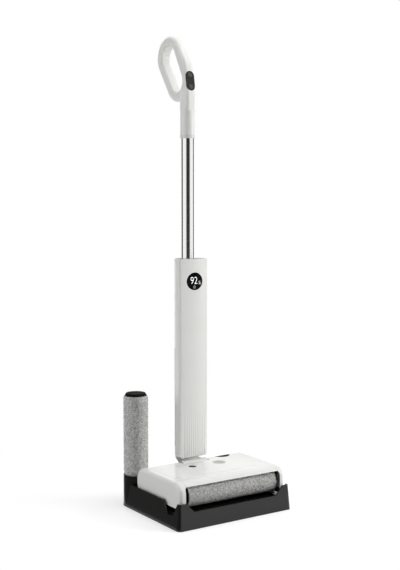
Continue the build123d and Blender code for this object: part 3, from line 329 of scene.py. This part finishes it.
@dataclass(frozen=True)
class Plastic(Finish):
    """Moulded plastic: a slow drift of tone, uneven gloss and a fine moulded grain."""

    roughness: float = 0.3
    gloss_swing: float = 0.08
    coat: float = 0.0
    sheen: float = 0.5
    drift: float = 14.0
    smear: float = 30.0
    grain: float = 900.0
    grain_depth: float = 0.00002
    grain_strength: float = 0.06

    def draw(self, sheet: NodeSheet) -> None:
        """Draw the plastic's nodes."""
        shader = sheet.surface(
            Coat_Weight=self.coat, Coat_Roughness=0.08, IOR=1.5, Specular_IOR_Level=self.sheen)
        drift = sheet.noise(self.drift, detail=3.0)
        sheet.join(self.paint(sheet, drift), shader.inputs["Base Color"])
        gloss = sheet.uneven(sheet.noise(self.smear), self.roughness, self.gloss_swing)
        sheet.join(gloss, shader.inputs["Roughness"])
        grain = sheet.bump(sheet.noise(self.grain), self.grain_depth, self.grain_strength)
        sheet.join(grain, shader.inputs["Normal"])


@dataclass(frozen=True)
class Metal(Finish):
    """Bare metal with fine drawn lines along one axis."""

    roughness: float = 0.2
    gloss_swing: float = 0.3
    gloss_reach: float = 0.25
    lines: Colour = (1.0, 1.0, 1.0)
    line_scale: float = 500.0
    line_depth: float = 0.000004
    line_strength: float = 0.2

    def draw(self, sheet: NodeSheet) -> None:
        """Draw the metal's nodes."""
        shader = sheet.surface(Metallic=1.0)
        drawn = sheet.noise(self.line_scale, detail=3.0, stretch=self.lines)
        sheet.join(self.paint(sheet, drawn), shader.inputs["Base Color"])
        gloss = sheet.uneven(drawn, self.roughness, self.gloss_swing, self.gloss_reach)
        sheet.join(gloss, shader.inputs["Roughness"])
        relief = sheet.bump(drawn, self.line_depth, self.line_strength)
        sheet.join(relief, shader.inputs["Normal"])


@dataclass(frozen=True)
class Smoked(Finish):
    """Smoky clear plastic of the water tanks, with faint flow lines."""

    clear: float = 0.55
    roughness: float = 0.12
    gloss_swing: float = 0.2
    smear: float = 70.0
    flow: float = 22.0
    flow_stretch: Colour = (1.0, 1.0, 0.25)
    flow_depth: float = 0.00015
    flow_strength: float = 0.1

    def draw(self, sheet: NodeSheet) -> None:
        """Draw the smoked plastic's nodes."""
        shader = sheet.surface(Transmission_Weight=self.clear, IOR=1.46)
        flow = sheet.noise(self.flow, detail=3.0, stretch=self.flow_stretch)
        sheet.join(self.paint(sheet, flow), shader.inputs["Base Color"])
        smear = sheet.noise(self.smear, detail=3.0)
        gloss = sheet.uneven(smear, self.roughness, self.gloss_swing)
        sheet.join(gloss, shader.inputs["Roughness"])
        relief = sheet.bump(flow, self.flow_depth, self.flow_strength)
        sheet.join(relief, shader.inputs["Normal"])


@dataclass(frozen=True)
class Pile(Finish):
    """Short plush: fibres of many tones in lighter and darker tufts, darker at the root by
    painted shade.
    """

    tuft: float = 300.0
    tuft_curl: float = 1.2
    tuft_range: Span = (0.43, 0.56)
    tuft_share: float = 0.4
    fibre_range: Span = (0.2, 0.55)
    fibre_share: float = 0.6
    root_painted_shade: float = 0.9
    nap: float = 1400.0
    nap_depth: float = 0.0003
    nap_strength: float = 0.4

    def draw(self, sheet: NodeSheet) -> None:
        """Draw the pile's nodes."""
        shader = sheet.surface(
            Roughness=0.9, Sheen_Weight=0.35, Sheen_Roughness=0.5, Specular_IOR_Level=0.1)
        pattern = sheet.noise(self.tuft, detail=3.0, curl=self.tuft_curl)
        tufts = sheet.spread(pattern, self.tuft_range, (0.0, 1.0))
        single = sheet.spread(
            sheet.attribute("fibre_tone"), self.fibre_range, (0.0, self.fibre_share))
        both = sheet.add("ShaderNodeMath", operation="MULTIPLY_ADD")
        sheet.join(tufts, both.inputs[0])
        both.inputs[1].default_value = self.tuft_share
        sheet.join(single, both.inputs[2])
        fibre = sheet.between(both.outputs["Value"], self.shade, self.tone)
        # Painted shade: the colour darkens towards the fibres' roots and on the backing, where
        # shade falls among the fibres.
        depth = sheet.spread(
            sheet.attribute("fibre_height"), (0.0, 1.0), (self.root_painted_shade, 1.0))
        sheet.join(sheet.times(fibre, depth), shader.inputs["Base Color"])
        nap = sheet.bump(sheet.noise(self.nap), self.nap_depth, self.nap_strength)
        sheet.join(nap, shader.inputs["Normal"])


@dataclass(frozen=True)
class Glow(Finish):
    """The lit characters of the display, a little uneven."""

    power: float = 0.55
    patch: float = 120.0

    def draw(self, sheet: NodeSheet) -> None:
        """Draw the characters' nodes."""
        shader = sheet.surface(Roughness=0.4, Emission_Strength=self.power)
        patchy = self.paint(sheet, sheet.noise(self.patch))
        sheet.join(patchy, shader.inputs["Base Color"])
        sheet.join(patchy, shader.inputs["Emission Color"])


SHELL_WHITE = Plastic(
    "shell_white", (0.83, 0.83, 0.805), (0.79, 0.79, 0.765), roughness=0.30, coat=0.15)
HEAD_WHITE = Plastic(
    "head_white", (0.82, 0.82, 0.80), (0.78, 0.78, 0.76), roughness=0.16, coat=0.4)
NECK_WHITE = Plastic("neck_white", (0.74, 0.74, 0.72), (0.70, 0.70, 0.68), roughness=0.34)
# Painted shade: the release button is grey all over in place of the shade in its dish.
DISH_SHADE_GREY = Plastic("dish_shade_grey", (0.46, 0.46, 0.45), (0.40, 0.40, 0.39), roughness=0.28)
DOCK_BLACK = Plastic(
    "dock_black", (0.0060, 0.0060, 0.0052), (0.0042, 0.0042, 0.0036), roughness=0.20,
    sheen=0.48, grain=1300.0, grain_strength=0.1)
TRIM_BLACK = Plastic(
    "trim_black", (0.008, 0.008, 0.008), (0.005, 0.005, 0.005), roughness=0.4,
    sheen=0.10, grain=1500.0, grain_depth=0.00004, grain_strength=0.3)
PANEL_BLACK = Plastic(
    "panel_black", (0.042, 0.042, 0.039), (0.032, 0.032, 0.030), roughness=0.30, sheen=0.06)
BUTTON_GREY = Plastic(
    "button_grey", (0.085, 0.086, 0.080), (0.066, 0.067, 0.062), roughness=0.30, sheen=0.2)
# Grey of the cores, pulleys and inner parts, also given to the body's top cap as painted shade.
CORE_GREY_AND_CAP_SHADE = Plastic("core_grey", (0.27, 0.27, 0.265), (0.23, 0.23, 0.225), roughness=0.45)
BOARD_GREEN = Plastic(
    "board_green", (0.030, 0.085, 0.045), (0.022, 0.065, 0.034), roughness=0.35, coat=0.2)
CAP_BLACK = Plastic(
    "cap_black", (0.010, 0.010, 0.010), (0.006, 0.006, 0.006), roughness=0.6,
    sheen=0.02, grain=1500.0, grain_depth=0.00004, grain_strength=0.3)
RUBBER = Plastic(
    "soft_rubber", (0.016, 0.016, 0.016), (0.011, 0.011, 0.011), roughness=0.75,
    grain=2200.0, grain_depth=0.00005, grain_strength=0.5)
DARK_GLASS = Plastic(
    "dark_glass", (0.004, 0.004, 0.005), (0.003, 0.003, 0.003), roughness=0.10,
    sheen=0.06, grain=60.0, grain_depth=0.00001, grain_strength=0.05)
FILTER_CLOTH = Plastic(
    "filter_cloth", (0.62, 0.60, 0.54), (0.52, 0.50, 0.44), roughness=0.85,
    grain=2600.0, grain_depth=0.0002, grain_strength=0.6)
TANK_SMOKE = Smoked("tank_smoke", (0.060, 0.064, 0.068), (0.045, 0.048, 0.052))
TUBE_CHROME = Metal(
    "tube_chrome", (0.90, 0.90, 0.89), (0.86, 0.86, 0.85), roughness=0.13,
    lines=(1.0, 1.0, 0.02), line_depth=0.0000001)
STEEL = Metal(
    "bright_steel", (0.52, 0.53, 0.54), (0.42, 0.43, 0.44), roughness=0.28,
    lines=(0.1, 1.0, 1.0))
BRASS = Metal("contact_brass", (0.72, 0.52, 0.20), (0.62, 0.43, 0.16), roughness=0.25)
PLUSH_GREY = Pile("plush_grey", (1.0, 0.995, 0.97), (0.15, 0.149, 0.145))
DIGIT_WHITE = Glow("digit_white", (0.92, 0.94, 0.96), (0.85, 0.88, 0.92))
DIGIT_DIM = Glow("digit_dim", (0.20, 0.20, 0.20), (0.16, 0.16, 0.16), power=0.35)


def in_scene(name: str, data: bpy.types.ID) -> bpy.types.Object:
    """Put data into the scene.

    Args:
        name: The new object's name.
        data: Its mesh, curve, light or camera.

    Returns:
        The new object, at the origin.
    """
    made = bpy.data.objects.new(name, data)
    bpy.context.scene.collection.objects.link(made)
    return made


def mesh_object(
    name: str, points: np.ndarray, faces: np.ndarray, material: bpy.types.Material,
    smooth: bool = False,
) -> bpy.types.Object:
    """Put worked-out points and faces into a new object at the origin.

    Args:
        name: The object's name.
        points: One row of x, y and z for each vertex, in metres.
        faces: One row of vertex numbers for each face, all of one size.
        material: The material that it gets.
        smooth: Whether its faces are shaded smooth.

    Returns:
        The new object.
    """
    mesh = bpy.data.meshes.new(name)
    mesh.from_pydata(points.tolist(), [], faces.tolist())
    mesh.polygons.foreach_set("use_smooth", np.full(len(faces), smooth))
    mesh.materials.append(material)
    mesh.update()
    return in_scene(name, mesh)


def give_numbers(made: bpy.types.Object, name: str, values: np.ndarray) -> None:
    """Give each vertex of an object's mesh a number that a material can read.

    Args:
        made: The object.
        name: What the numbers are called.
        values: One number for each vertex.
    """
    layer = made.data.attributes.new(name, "FLOAT", "POINT")
    layer.data.foreach_set("value", values.astype(np.float32))


def grid_faces(rows: int, columns: int) -> np.ndarray:
    """Number the four-sided faces of a grid whose columns close on themselves.

    Args:
        rows: Vertices along the grid.
        columns: Vertices around it.

    Returns:
        One row of four vertex numbers for each face.
    """
    row, column = np.meshgrid(np.arange(rows - 1), np.arange(columns), indexing="ij")
    after = (column + 1) % columns
    here, above = row * columns, (row + 1) * columns
    corners = (here + column, here + after, above + after, above + column)
    return np.stack(corners, axis=-1).reshape(-1, 4)


@dataclass(frozen=True)
class Wave:
    """A sine wave over a roller: radians to a metre along it, and waves in a turn round it."""

    along: float
    around: float


def ripple(waves: tuple[Wave, ...], along: np.ndarray, angle: np.ndarray) -> np.ndarray:
    """Add up sine waves over a roller.

    Args:
        waves: The waves.
        along: Places along the roller, in metres.
        angle: Angles round it, in radians.

    Returns:
        The sum of the sines at each place.
    """
    return sum(np.sin(wave.along * along + wave.around * angle) for wave in waves)


@dataclass
class PlushSleeve:
    """A roller's plush: a felted backing with thousands of tapered fibres standing on it."""

    FELT: ClassVar = (Wave(900.0, 3.0), Wave(-430.0, 11.0), Wave(170.0, 23.0))
    TUFTS_ALONG: ClassVar = (Wave(1500.0, 4.0), Wave(870.0, -17.0))
    TUFTS_ROUND: ClassVar = (Wave(-620.0, 31.0), Wave(1130.0, 19.0))
    SPIKE: ClassVar = np.array([[0, 1, 3], [1, 2, 3], [2, 0, 3], [2, 1, 0]])

    name: str
    body: str
    node: str
    run: Run
    fibres: int
    seed: int
    fibre_length: float = 0.0036
    fibre_width: float = 0.0019
    thinnest: float = 0.7
    width_range: float = 0.6
    uneven: float = 0.10
    lean_along: float = 0.0009
    stray_along: float = 0.0005
    lean_round: float = 0.0011
    stray_round: float = 0.0006
    end_margin: float = 0.0008
    overhang: float = 0.0
    pressed: float = 0.0
    pressed_depth: float = 0.0
    pressed_ease: float = 0.008
    crown: float = 0.0
    crown_depth: float = 0.6
    rows: int = 150
    columns: int = 96
    backing_share: float = 0.62
    backing_wall: float = 0.0049
    felt_height: float = 0.00018
    # The root and backing heights set how much painted shade the plush's material puts there.
    root_height: float = 0.25
    backing_height: float = 0.3
    backing_tone: float = 0.4
    low: Vector = field(init=False)
    high: Vector = field(init=False)

    def __post_init__(self) -> None:
        """Take the sleeve's place and size from its CAD node."""
        self.low, self.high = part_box(self.node)

    @property
    def axis(self) -> int:
        """The number of the axis that the roller lies along."""
        return "xyz".index(self.run.value)

    @property
    def others(self) -> tuple[int, int]:
        """The two axes across the roller, in right-handed order."""
        return (self.axis + 1) % 3, (self.axis + 2) % 3

    @property
    def radius(self) -> float:
        """The roller's full radius, to its fibres' tips."""
        first = self.others[0]
        return (self.high[first] - self.low[first]) / 2

    @property
    def reach(self) -> Span:
        """Where the fibres start and end along the roller."""
        spare = self.end_margin
        return (
            self.low[self.axis] + spare - self.overhang,
            self.high[self.axis] - spare + self.overhang)

    def tip_radius(self, along: np.ndarray) -> np.ndarray:
        """Give the radius of the fibres' tips along the roller.

        The tips keep the full radius, ease down to a smaller one where a socket presses them, and
        round over like a quarter of an ellipse at a free upper end.

        Args:
            along: Places along the roller, in metres.

        Returns:
            The radius at each place.
        """
        share = np.clip((along - self.pressed) / self.pressed_ease, 0.0, 1.0)
        eased = share * share * (3.0 - 2.0 * share)
        free = np.clip((along - self.high[self.axis]) / max(self.crown, TINY) + 1.0, 0.0, 1.0)
        rounded = self.crown_depth * self.crown * (1.0 - np.sqrt(1.0 - free * free))
        return self.radius - self.pressed_depth * (1.0 - eased) - rounded

    def place(self, along: np.ndarray, angle: np.ndarray, radius: np.ndarray) -> np.ndarray:
        """Turn roller coordinates into points.

        Args:
            along: Places along the roller's axis, in metres.
            angle: Angles round it, in radians.
            radius: Distances from it, in metres.

        Returns:
            An array of points with x, y and z last.
        """
        first, second = self.others
        middle = [(low + high) / 2 for low, high in zip(self.low, self.high)]
        points = np.empty((*along.shape, 3))
        points[..., self.axis] = along
        points[..., first] = middle[first] + radius * np.cos(angle)
        points[..., second] = middle[second] + radius * np.sin(angle)
        return points

    def backing(self) -> tuple[np.ndarray, np.ndarray]:
        """Work out the backing.

        It is a tube a share of the fibres' length under their tips, turned in at both ends, and
        felted by three sine waves.

        Returns:
            The backing's points and its four-sided faces.
        """
        start, end = self.low[self.axis], self.high[self.axis]
        along, angle = np.broadcast_arrays(
            np.linspace(start, end, self.rows)[:, None],
            np.linspace(0.0, TURN, self.columns, endpoint=False)[None, :])
        felt = self.felt_height * ripple(self.FELT, along, angle)
        radius = self.tip_radius(along) - self.backing_share * self.fibre_length + felt
        ring = np.ones((1, self.columns))
        inner = ring * (self.radius - self.backing_wall)
        along = np.vstack([ring * start, along, ring * end])
        angle = np.vstack([angle[:1], angle, angle[:1]])
        radius = np.vstack([inner, radius, inner])
        points = self.place(along, angle, radius).reshape(-1, 3)
        return points, grid_faces(self.rows + 2, self.columns)

    def roots(self, dice: np.random.Generator) -> tuple[np.ndarray, np.ndarray]:
        """Set the fibres' roots on a grid of even cells, each at random in its cell.

        Args:
            dice: The source of random numbers.

        Returns:
            The roots' places along the roller and their angles round it.
        """
        start, end = self.reach
        around = int(math.sqrt(self.fibres * TURN * self.radius / (end - start)))
        down = self.fibres // around
        row, column = np.meshgrid(np.arange(down), np.arange(around), indexing="ij")
        along = start + (end - start) * (row + dice.random((down, around))) / down
        angle = TURN * (column + dice.random((down, around))) / around
        return along.ravel(), angle.ravel()

    def tips(
        self, dice: np.random.Generator, along: np.ndarray, angle: np.ndarray,
    ) -> np.ndarray:
        """Lean the fibres' tips.

        A tip is about one fibre length out from its root, moved along and round the roller by
        waves of a few millimetres, which gather the fibres into tufts, and by a little at random.

        Args:
            dice: The source of random numbers.
            along: The roots' places along the roller.
            angle: The roots' angles round it.

        Returns:
            One point for each fibre.
        """
        count = along.size
        lean = self.lean_along * ripple(self.TUFTS_ALONG, along, angle)
        tip_along = along + lean + dice.normal(0.0, self.stray_along, count)
        tip_along = np.clip(tip_along, *self.reach)
        lean = self.lean_round * ripple(self.TUFTS_ROUND, along, angle)
        tip_angle = angle + (lean + dice.normal(0.0, self.stray_round, count)) / self.radius
        short = self.fibre_length * np.abs(dice.normal(0.0, self.uneven, count))
        return self.place(tip_along, tip_angle, self.tip_radius(tip_along) - short)

    def feet(
        self, dice: np.random.Generator, along: np.ndarray, angle: np.ndarray,
    ) -> np.ndarray:
        """Set three corners round each fibre's root, turned and spaced at random.

        Args:
            dice: The source of random numbers.
            along: The roots' places along the roller.
            angle: The roots' angles round it.

        Returns:
            Three points for each fibre.
        """
        count = along.size
        turn = dice.random(count)[:, None] * TURN + np.arange(3)[None, :] * TURN / 3.0
        width = self.thinnest + self.width_range * dice.random(count)
        half = self.fibre_width / 2.0 * width[:, None]
        root = self.tip_radius(along) - self.fibre_length
        return self.place(
            along[:, None] + half * np.cos(turn),
            angle[:, None] + half * np.sin(turn) / self.radius,
            np.broadcast_to(root[:, None], turn.shape))

    def pile(self) -> tuple[np.ndarray, np.ndarray, np.ndarray]:
        """Work out the fibres, each a closed spike with three corners at the root and a tip.

        Returns:
            The fibres' points, their three-sided faces, and two rows: each point's height from
            root to tip, which sets the painted shade near the root, and its tone.
        """
        dice = np.random.default_rng(self.seed)
        along, angle = self.roots(dice)
        tips = self.tips(dice, along, angle)
        feet = self.feet(dice, along, angle)
        points = np.concatenate([feet, tips[:, None, :]], axis=1)
        faces = 4 * np.arange(along.size)[:, None, None] + self.SPIKE[None, :, :]
        height = np.tile(np.array([self.root_height] * 3 + [1.0]), along.size)
        tone = np.repeat(dice.random(along.size), 4)
        return points.reshape(-1, 3), faces.reshape(-1, 3), np.stack([height, tone])

    def build(self) -> bpy.types.Object:
        """Make the sleeve, in place of its CAD node.

        Returns:
            The sleeve's object.
        """
        shell, quads = self.backing()
        points, faces, (height, tone) = self.pile()
        halves = np.concatenate([quads[:, [0, 1, 2]], quads[:, [0, 2, 3]]])
        triangles = np.concatenate([halves, faces + len(shell)])
        made = mesh_object(
            self.name, np.concatenate([shell, points]), triangles, PLUSH_GREY.material(), True)
        plain = np.ones(len(shell))
        # The backing gets a low height, so it is darkened by painted shade as if shaded under the
        # fibres.
        give_numbers(made, "fibre_height", np.concatenate([plain * self.backing_height, height]))
        give_numbers(made, "fibre_tone", np.concatenate([plain * self.backing_tone, tone]))
        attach(made, self.body)
        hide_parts(self.node)
        LOG.info("%s: %d triangles", self.name, len(triangles))
        return made


@dataclass(frozen=True)
class Word:
    """Characters on the display.

    The middle is where their middle is, right of and above the glass's middle. The size is the
    font's height, and bold is how far the outline is spread, all in metres.
    """

    text: str
    size: float
    bold: float
    middle: Span
    finish: Finish

    @property
    def name(self) -> str:
        """The name of the characters' piece."""
        return f"display_{len(self.text)}_{round(self.size * 1e4)}"


@dataclass
class Display:
    """The lit characters on the bowed glass of the body's display."""

    WORDS: ClassVar = (
        Word("92", 0.0236, -0.0003, (-0.0022, 0.0022), DIGIT_WHITE),
        Word("%", 0.0110, -0.0001, (0.0136, -0.0034), DIGIT_WHITE),
        Word("o", 0.0130, 0.0007, (-0.0010, -0.0130), DIGIT_DIM),
    )

    raised: float = 0.00012
    narrow: float = 0.86
    glass: float = 0.002

    def outline(self, word: Word) -> bpy.types.Mesh:
        """Turn a word's outline into a mesh.

        Args:
            word: The characters.

        Returns:
            The mesh, flat on x and y.
        """
        curve = bpy.data.curves.new("outline", "FONT")
        curve.body = word.text
        curve.align_x = "CENTER"
        curve.align_y = "CENTER"
        curve.size = word.size
        curve.offset = word.bold
        curve.extrude = self.raised
        holder = in_scene("outline", curve)
        bpy.context.view_layer.update()
        depsgraph = bpy.context.evaluated_depsgraph_get()
        mesh = bpy.data.meshes.new_from_object(holder.evaluated_get(depsgraph))
        bpy.data.objects.remove(holder)
        return mesh

    def lay(self, flat: np.ndarray, middle: Span) -> np.ndarray:
        """Lay flat points on the glass, which bows back with the square of the way across.

        Args:
            flat: One row of x, y and z for each point of the flat word.
            middle: Where the word's middle goes, right of and above the glass's middle.

        Returns:
            One row of x, y and z for each point on the glass.
        """
        low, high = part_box("display_lens")
        centre = (flat.min(axis=0) + flat.max(axis=0)) / 2
        across = (flat[:, 0] - centre[0]) * self.narrow + middle[0]
        above = flat[:, 1] - centre[1] + middle[1]
        bow = (high.y - low.y - self.glass) * (across / ((high.x - low.x) / 2)) ** 2
        columns = (
            across + (low.x + high.x) / 2, low.y + bow - flat[:, 2], above + (low.z + high.z) / 2)
        return np.stack(columns, axis=1)

    def light(self, word: Word) -> bpy.types.Object:
        """Make a word on the glass.

        Args:
            word: The characters.

        Returns:
            The characters' object.
        """
        mesh = self.outline(word)
        flat = np.empty(len(mesh.vertices) * 3)
        mesh.vertices.foreach_get("co", flat)
        mesh.vertices.foreach_set("co", self.lay(flat.reshape(-1, 3), word.middle).ravel())
        mesh.materials.clear()
        mesh.materials.append(word.finish.material())
        mesh.update()
        made = in_scene(word.name, mesh)
        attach(made, "upright")
        return made

    def build(self) -> None:
        """Light the charge figure, its per cent sign and the ring under them."""
        for word in self.WORDS:
            self.light(word)
        LOG.info("display lit")


@dataclass
class Dock:
    """The black dock tray, what is fixed to it, and the spare roller in its socket."""

    fibres: int = 17000
    seed: int = 7
    socket_rim: float = 0.0735
    socket_press: float = 0.003
    crown: float = 0.006

    def build(self) -> None:
        """Dress the dock and stand the spare roller's plush in its socket."""
        DOCK_BLACK.dress("dock_tray", "dock_base")
        RUBBER.dress("dock_feet", "wheel_rests")
        STEEL.dress("dock_screws")
        BRASS.dress("contact_pins")
        TRIM_BLACK.dress("dc_inlet")
        CAP_BLACK.dress("spare_caps")
        CORE_GREY_AND_CAP_SHADE.dress("spare_core")
        PlushSleeve(
            "spare_pile", "spare_roller", "spare_sleeve", Run.UPRIGHT, self.fibres, self.seed,
            pressed=self.socket_rim, pressed_depth=self.socket_press, crown=self.crown).build()
        LOG.info("dock dressed")


@dataclass
class FloorHead:
    """The floor head with its lid, drive, wheels and plush roller."""

    fibres: int = 17000
    seed: int = 3
    overhang: float = 0.003

    def build(self) -> None:
        """Dress the head and build its roller's plush."""
        HEAD_WHITE.dress("head_shell", "roller_cover", "tank_lid")
        # The release button's grey is painted shade standing in for its dished top.
        DISH_SHADE_GREY.dress("release_button")
        TRIM_BLACK.dress("head_chassis", "spray_bar", "roller_caps")
        CAP_BLACK.dress("charge_block")
        RUBBER.dress("scraper_bar", "drive_belt", "wheel_left", "wheel_right")
        STEEL.dress(
            "head_screws", "roller_bearings", "drive_motor", "wheel_axles", "tilt_pin",
            "roller_axle")
        CORE_GREY_AND_CAP_SHADE.dress("suction_duct", "roller_core", "roller_pulley", "motor_pulley")
        BRASS.dress("charge_pads")
        DARK_GLASS.dress("level_window")
        TANK_SMOKE.dress("dirty_tank")
        PlushSleeve(
            "roller_pile", "roller", "roller_sleeve", Run.ACROSS, self.fibres, self.seed,
            overhang=self.overhang).build()
        LOG.info("head dressed")


@dataclass
class Upright:
    """The neck, the body, the tube and the handle."""

    def build(self) -> None:
        """Dress the upright's pieces and light its display."""
        NECK_WHITE.dress("neck_yoke", "bottom_cap", "tube_collar")
        SHELL_WHITE.dress("front_cover", "rear_shell", "handle_left", "handle_right")
        # The top cap is dressed dark grey as painted shade, for the shaded rim around its shallow
        # recess.
        CORE_GREY_AND_CAP_SHADE.dress("swivel_ring", "pump", "fan_housing", "fan_wheel", "top_cap")
        TRIM_BLACK.dress("battery_pack")
        FILTER_CLOTH.dress("inlet_filter")
        BOARD_GREEN.dress("display_board", "switch_board")
        DARK_GLASS.dress("display_lens")
        TANK_SMOKE.dress("water_tank")
        RUBBER.dress("tank_stopper")
        TUBE_CHROME.dress("tube")
        PANEL_BLACK.dress("button_panel")
        BUTTON_GREY.dress("power_button", "mode_button")
        Display().build()
        LOG.info("upright dressed")


@dataclass(frozen=True)
class Lamp:
    """A square soft light of a size in metres and a power in watts, aimed at a point."""

    name: str
    place: Point
    aim: Point
    size: float
    power: float

    def build(self) -> None:
        """Hang the lamp, out of sight of reflections."""
        data = bpy.data.lights.new(self.name, "AREA")
        data.size = self.size
        data.energy = self.power
        direction = Vector(self.aim) - Vector(self.place)
        turn = direction.to_track_quat("-Z", "Y").to_matrix().to_4x4()
        holder = in_scene(self.name, data)
        holder.matrix_world = Matrix.Translation(self.place) @ turn
        holder.visible_glossy = False


@dataclass(frozen=True)
class Card:
    """A dark upright card that only shows in reflections.

    It stands at a bearing in degrees, from straight ahead of the object to its right, and at a
    distance in metres. The height is that of its lower and upper edges. Its middle is as bright
    as the shade and its sides as the rim, where 1 is as bright as the room.
    """

    STRIPS: ClassVar = 16
    EVEN_SHARE: ClassVar = 0.6

    name: str
    bearing: float
    distance: float
    height: Span
    width: float
    shade: float = 0.034
    rim: float = 1.0

    def material(self) -> bpy.types.Material:
        """Make the card's material, even in the middle and changing to the rim at both sides.

        Returns:
            The material.
        """
        sheet = NodeSheet.blank(self.name)
        glow = sheet.add("ShaderNodeEmission")
        bright = sheet.spread(
            sheet.attribute("card_edge"), (self.EVEN_SHARE, 1.0), (self.shade, self.rim))
        sheet.join(bright, glow.inputs["Strength"])
        sheet.show(glow.outputs["Emission"])
        return sheet.owner

    def build(self) -> None:
        """Stand the card."""
        turn = math.radians(self.bearing)
        middle = np.array([math.sin(turn), -math.cos(turn), 0.0]) * self.distance
        along = np.array([math.cos(turn), math.sin(turn), 0.0])
        bottom, top = self.height
        columns = np.linspace(-1.0, 1.0, self.STRIPS + 1)
        low = middle + columns[:, None] * along * self.width / 2.0 + np.array([0.0, 0.0, bottom])
        high = low + np.array([0.0, 0.0, top - bottom])
        first = np.arange(self.STRIPS)
        over = first + self.STRIPS + 1
        faces = np.stack([first, first + 1, over + 1, over], axis=1)
        made = mesh_object(self.name, np.concatenate([low, high]), faces, self.material())
        give_numbers(made, "card_edge", np.tile(np.abs(columns), 2))
        made.visible_camera = False
        made.visible_diffuse = False
        made.visible_shadow = False
        made.visible_transmission = False


LAMPS = (
    Lamp("key", (1.79, -1.50, 1.20), (0.0, 0.0, 0.5), 1.4, 45.0),
    Lamp("top", (0.3, -0.3, 2.9), (0.0, 0.0, 0.2), 1.4, 30.0),
    Lamp("fill", (-2.8, 0.8, 0.9), (0.0, 0.0, 0.5), 1.5, 36.0),
    Lamp("back", (0.6, 2.7, 1.2), (0.0, 0.0, 0.5), 1.4, 28.0),
)
CARDS = (
    Card("front_card", -26.0, 3.2, (-0.4, 2.4), 4.9),
    Card("display_card", 33.0, 1.5, (0.22, 0.47), 0.5),
    Card("left_card", -142.0, 2.0, (0.0, 2.2), 1.5),
    Card("right_card", 87.0, 2.2, (0.0, 2.2), 1.3),
    Card("dock_card", -90.0, 0.168, (0.0, 0.08), 0.60, shade=0.16, rim=0.16),
    Card("corner_card", -56.0, 0.24, (0.0, 0.06), 0.10, shade=0.01, rim=0.1),
)


@dataclass
class Studio:
    """The pale floor, the soft lights and the camera."""

    eye: Point = (-1.3000, -1.9234, 0.7001)
    yaw: float = math.radians(33.81)
    pitch: float = math.radians(4.7)
    lens: float = 65.3
    sensor: float = 36.0
    farthest: float = 50.0
    room_light: float = 0.22
    floor_half: float = 8.0
    floor_tone: Colour = (0.54, 0.54, 0.54)
    floor_shade: Colour = (0.52, 0.52, 0.52)
    floor_drift: float = 3.0
    floor_lift: float = 0.55
    floor_fade: Span = (0.28, 0.75)

    def camera(self) -> None:
        """Stand the camera at the front left, a little above the middle of the object."""
        level = math.cos(self.pitch)
        ahead = Vector((
            math.sin(self.yaw) * level, math.cos(self.yaw) * level, -math.sin(self.pitch)))
        right = Vector((math.cos(self.yaw), -math.sin(self.yaw), 0.0))
        turn = Matrix((right, right.cross(ahead), -ahead)).transposed()
        data = bpy.data.cameras.new("camera")
        data.lens = self.lens
        data.sensor_width = self.sensor
        data.clip_end = self.farthest
        holder = in_scene("camera", data)
        holder.matrix_world = Matrix.Translation(self.eye) @ turn.to_4x4()
        bpy.context.scene.camera = holder

    def floor(self) -> None:
        """Lay a wide floor that bounces a little light.

        Where it is seen, it is lifted to white near the object but for the object's shadow, and
        fades to even white farther out.
        """
        sheet = NodeSheet.blank("studio_floor")
        paint = sheet.add("ShaderNodeBsdfDiffuse")
        drift = sheet.between(sheet.noise(self.floor_drift), self.floor_tone, self.floor_shade)
        sheet.join(drift, paint.inputs["Color"])
        near = sheet.add("ShaderNodeAddShader")
        sheet.join(paint.outputs["BSDF"], near.inputs[0])
        sheet.join(sheet.glow(self.floor_lift), near.inputs[1])
        reach = sheet.add("ShaderNodeVectorMath", operation="LENGTH")
        sheet.join(sheet.add("ShaderNodeTexCoord").outputs["Object"], reach.inputs[0])
        far = sheet.spread(reach.outputs["Value"], self.floor_fade, (0.0, 1.0), "SMOOTHSTEP")
        shown = sheet.choose(far, near.outputs["Shader"], sheet.glow(1.0))
        sheet.show(sheet.choose(sheet.seen(), paint.outputs["BSDF"], shown))
        corners = np.array([[-1, -1, 0], [1, -1, 0], [1, 1, 0], [-1, 1, 0]])
        plane = mesh_object(
            "studio_floor", self.floor_half * corners, np.array([[0, 1, 2, 3]]), sheet.owner)

    def world(self) -> None:
        """Fill the studio with even light, white wherever the background is seen."""
        sheet = NodeSheet(bpy.data.worlds.new("studio"))
        bpy.context.scene.world = sheet.owner
        shaders = []
        for strength in (self.room_light, 1.0):
            node = sheet.add("ShaderNodeBackground")
            node.inputs["Color"].default_value = (1.0, 1.0, 1.0, 1.0)
            node.inputs["Strength"].default_value = strength
            shaders.append(node.outputs["Background"])
        sheet.show(sheet.choose(sheet.seen(), *shaders))

    def build(self) -> None:
        """Set up the whole studio."""
        bpy.context.scene.view_settings.view_transform = "Standard"
        self.floor()
        self.world()
        self.camera()
        for piece in (*LAMPS, *CARDS):
            piece.build()
        LOG.info("studio lit")


def main() -> None:
    """Build every sub-assembly, then the studio."""
    logging.basicConfig(level=logging.INFO, format="%(name)s %(message)s")
    Dock().build()
    FloorHead().build()
    Upright().build()
    Studio().build()


if __name__ == "__main__":
    main()
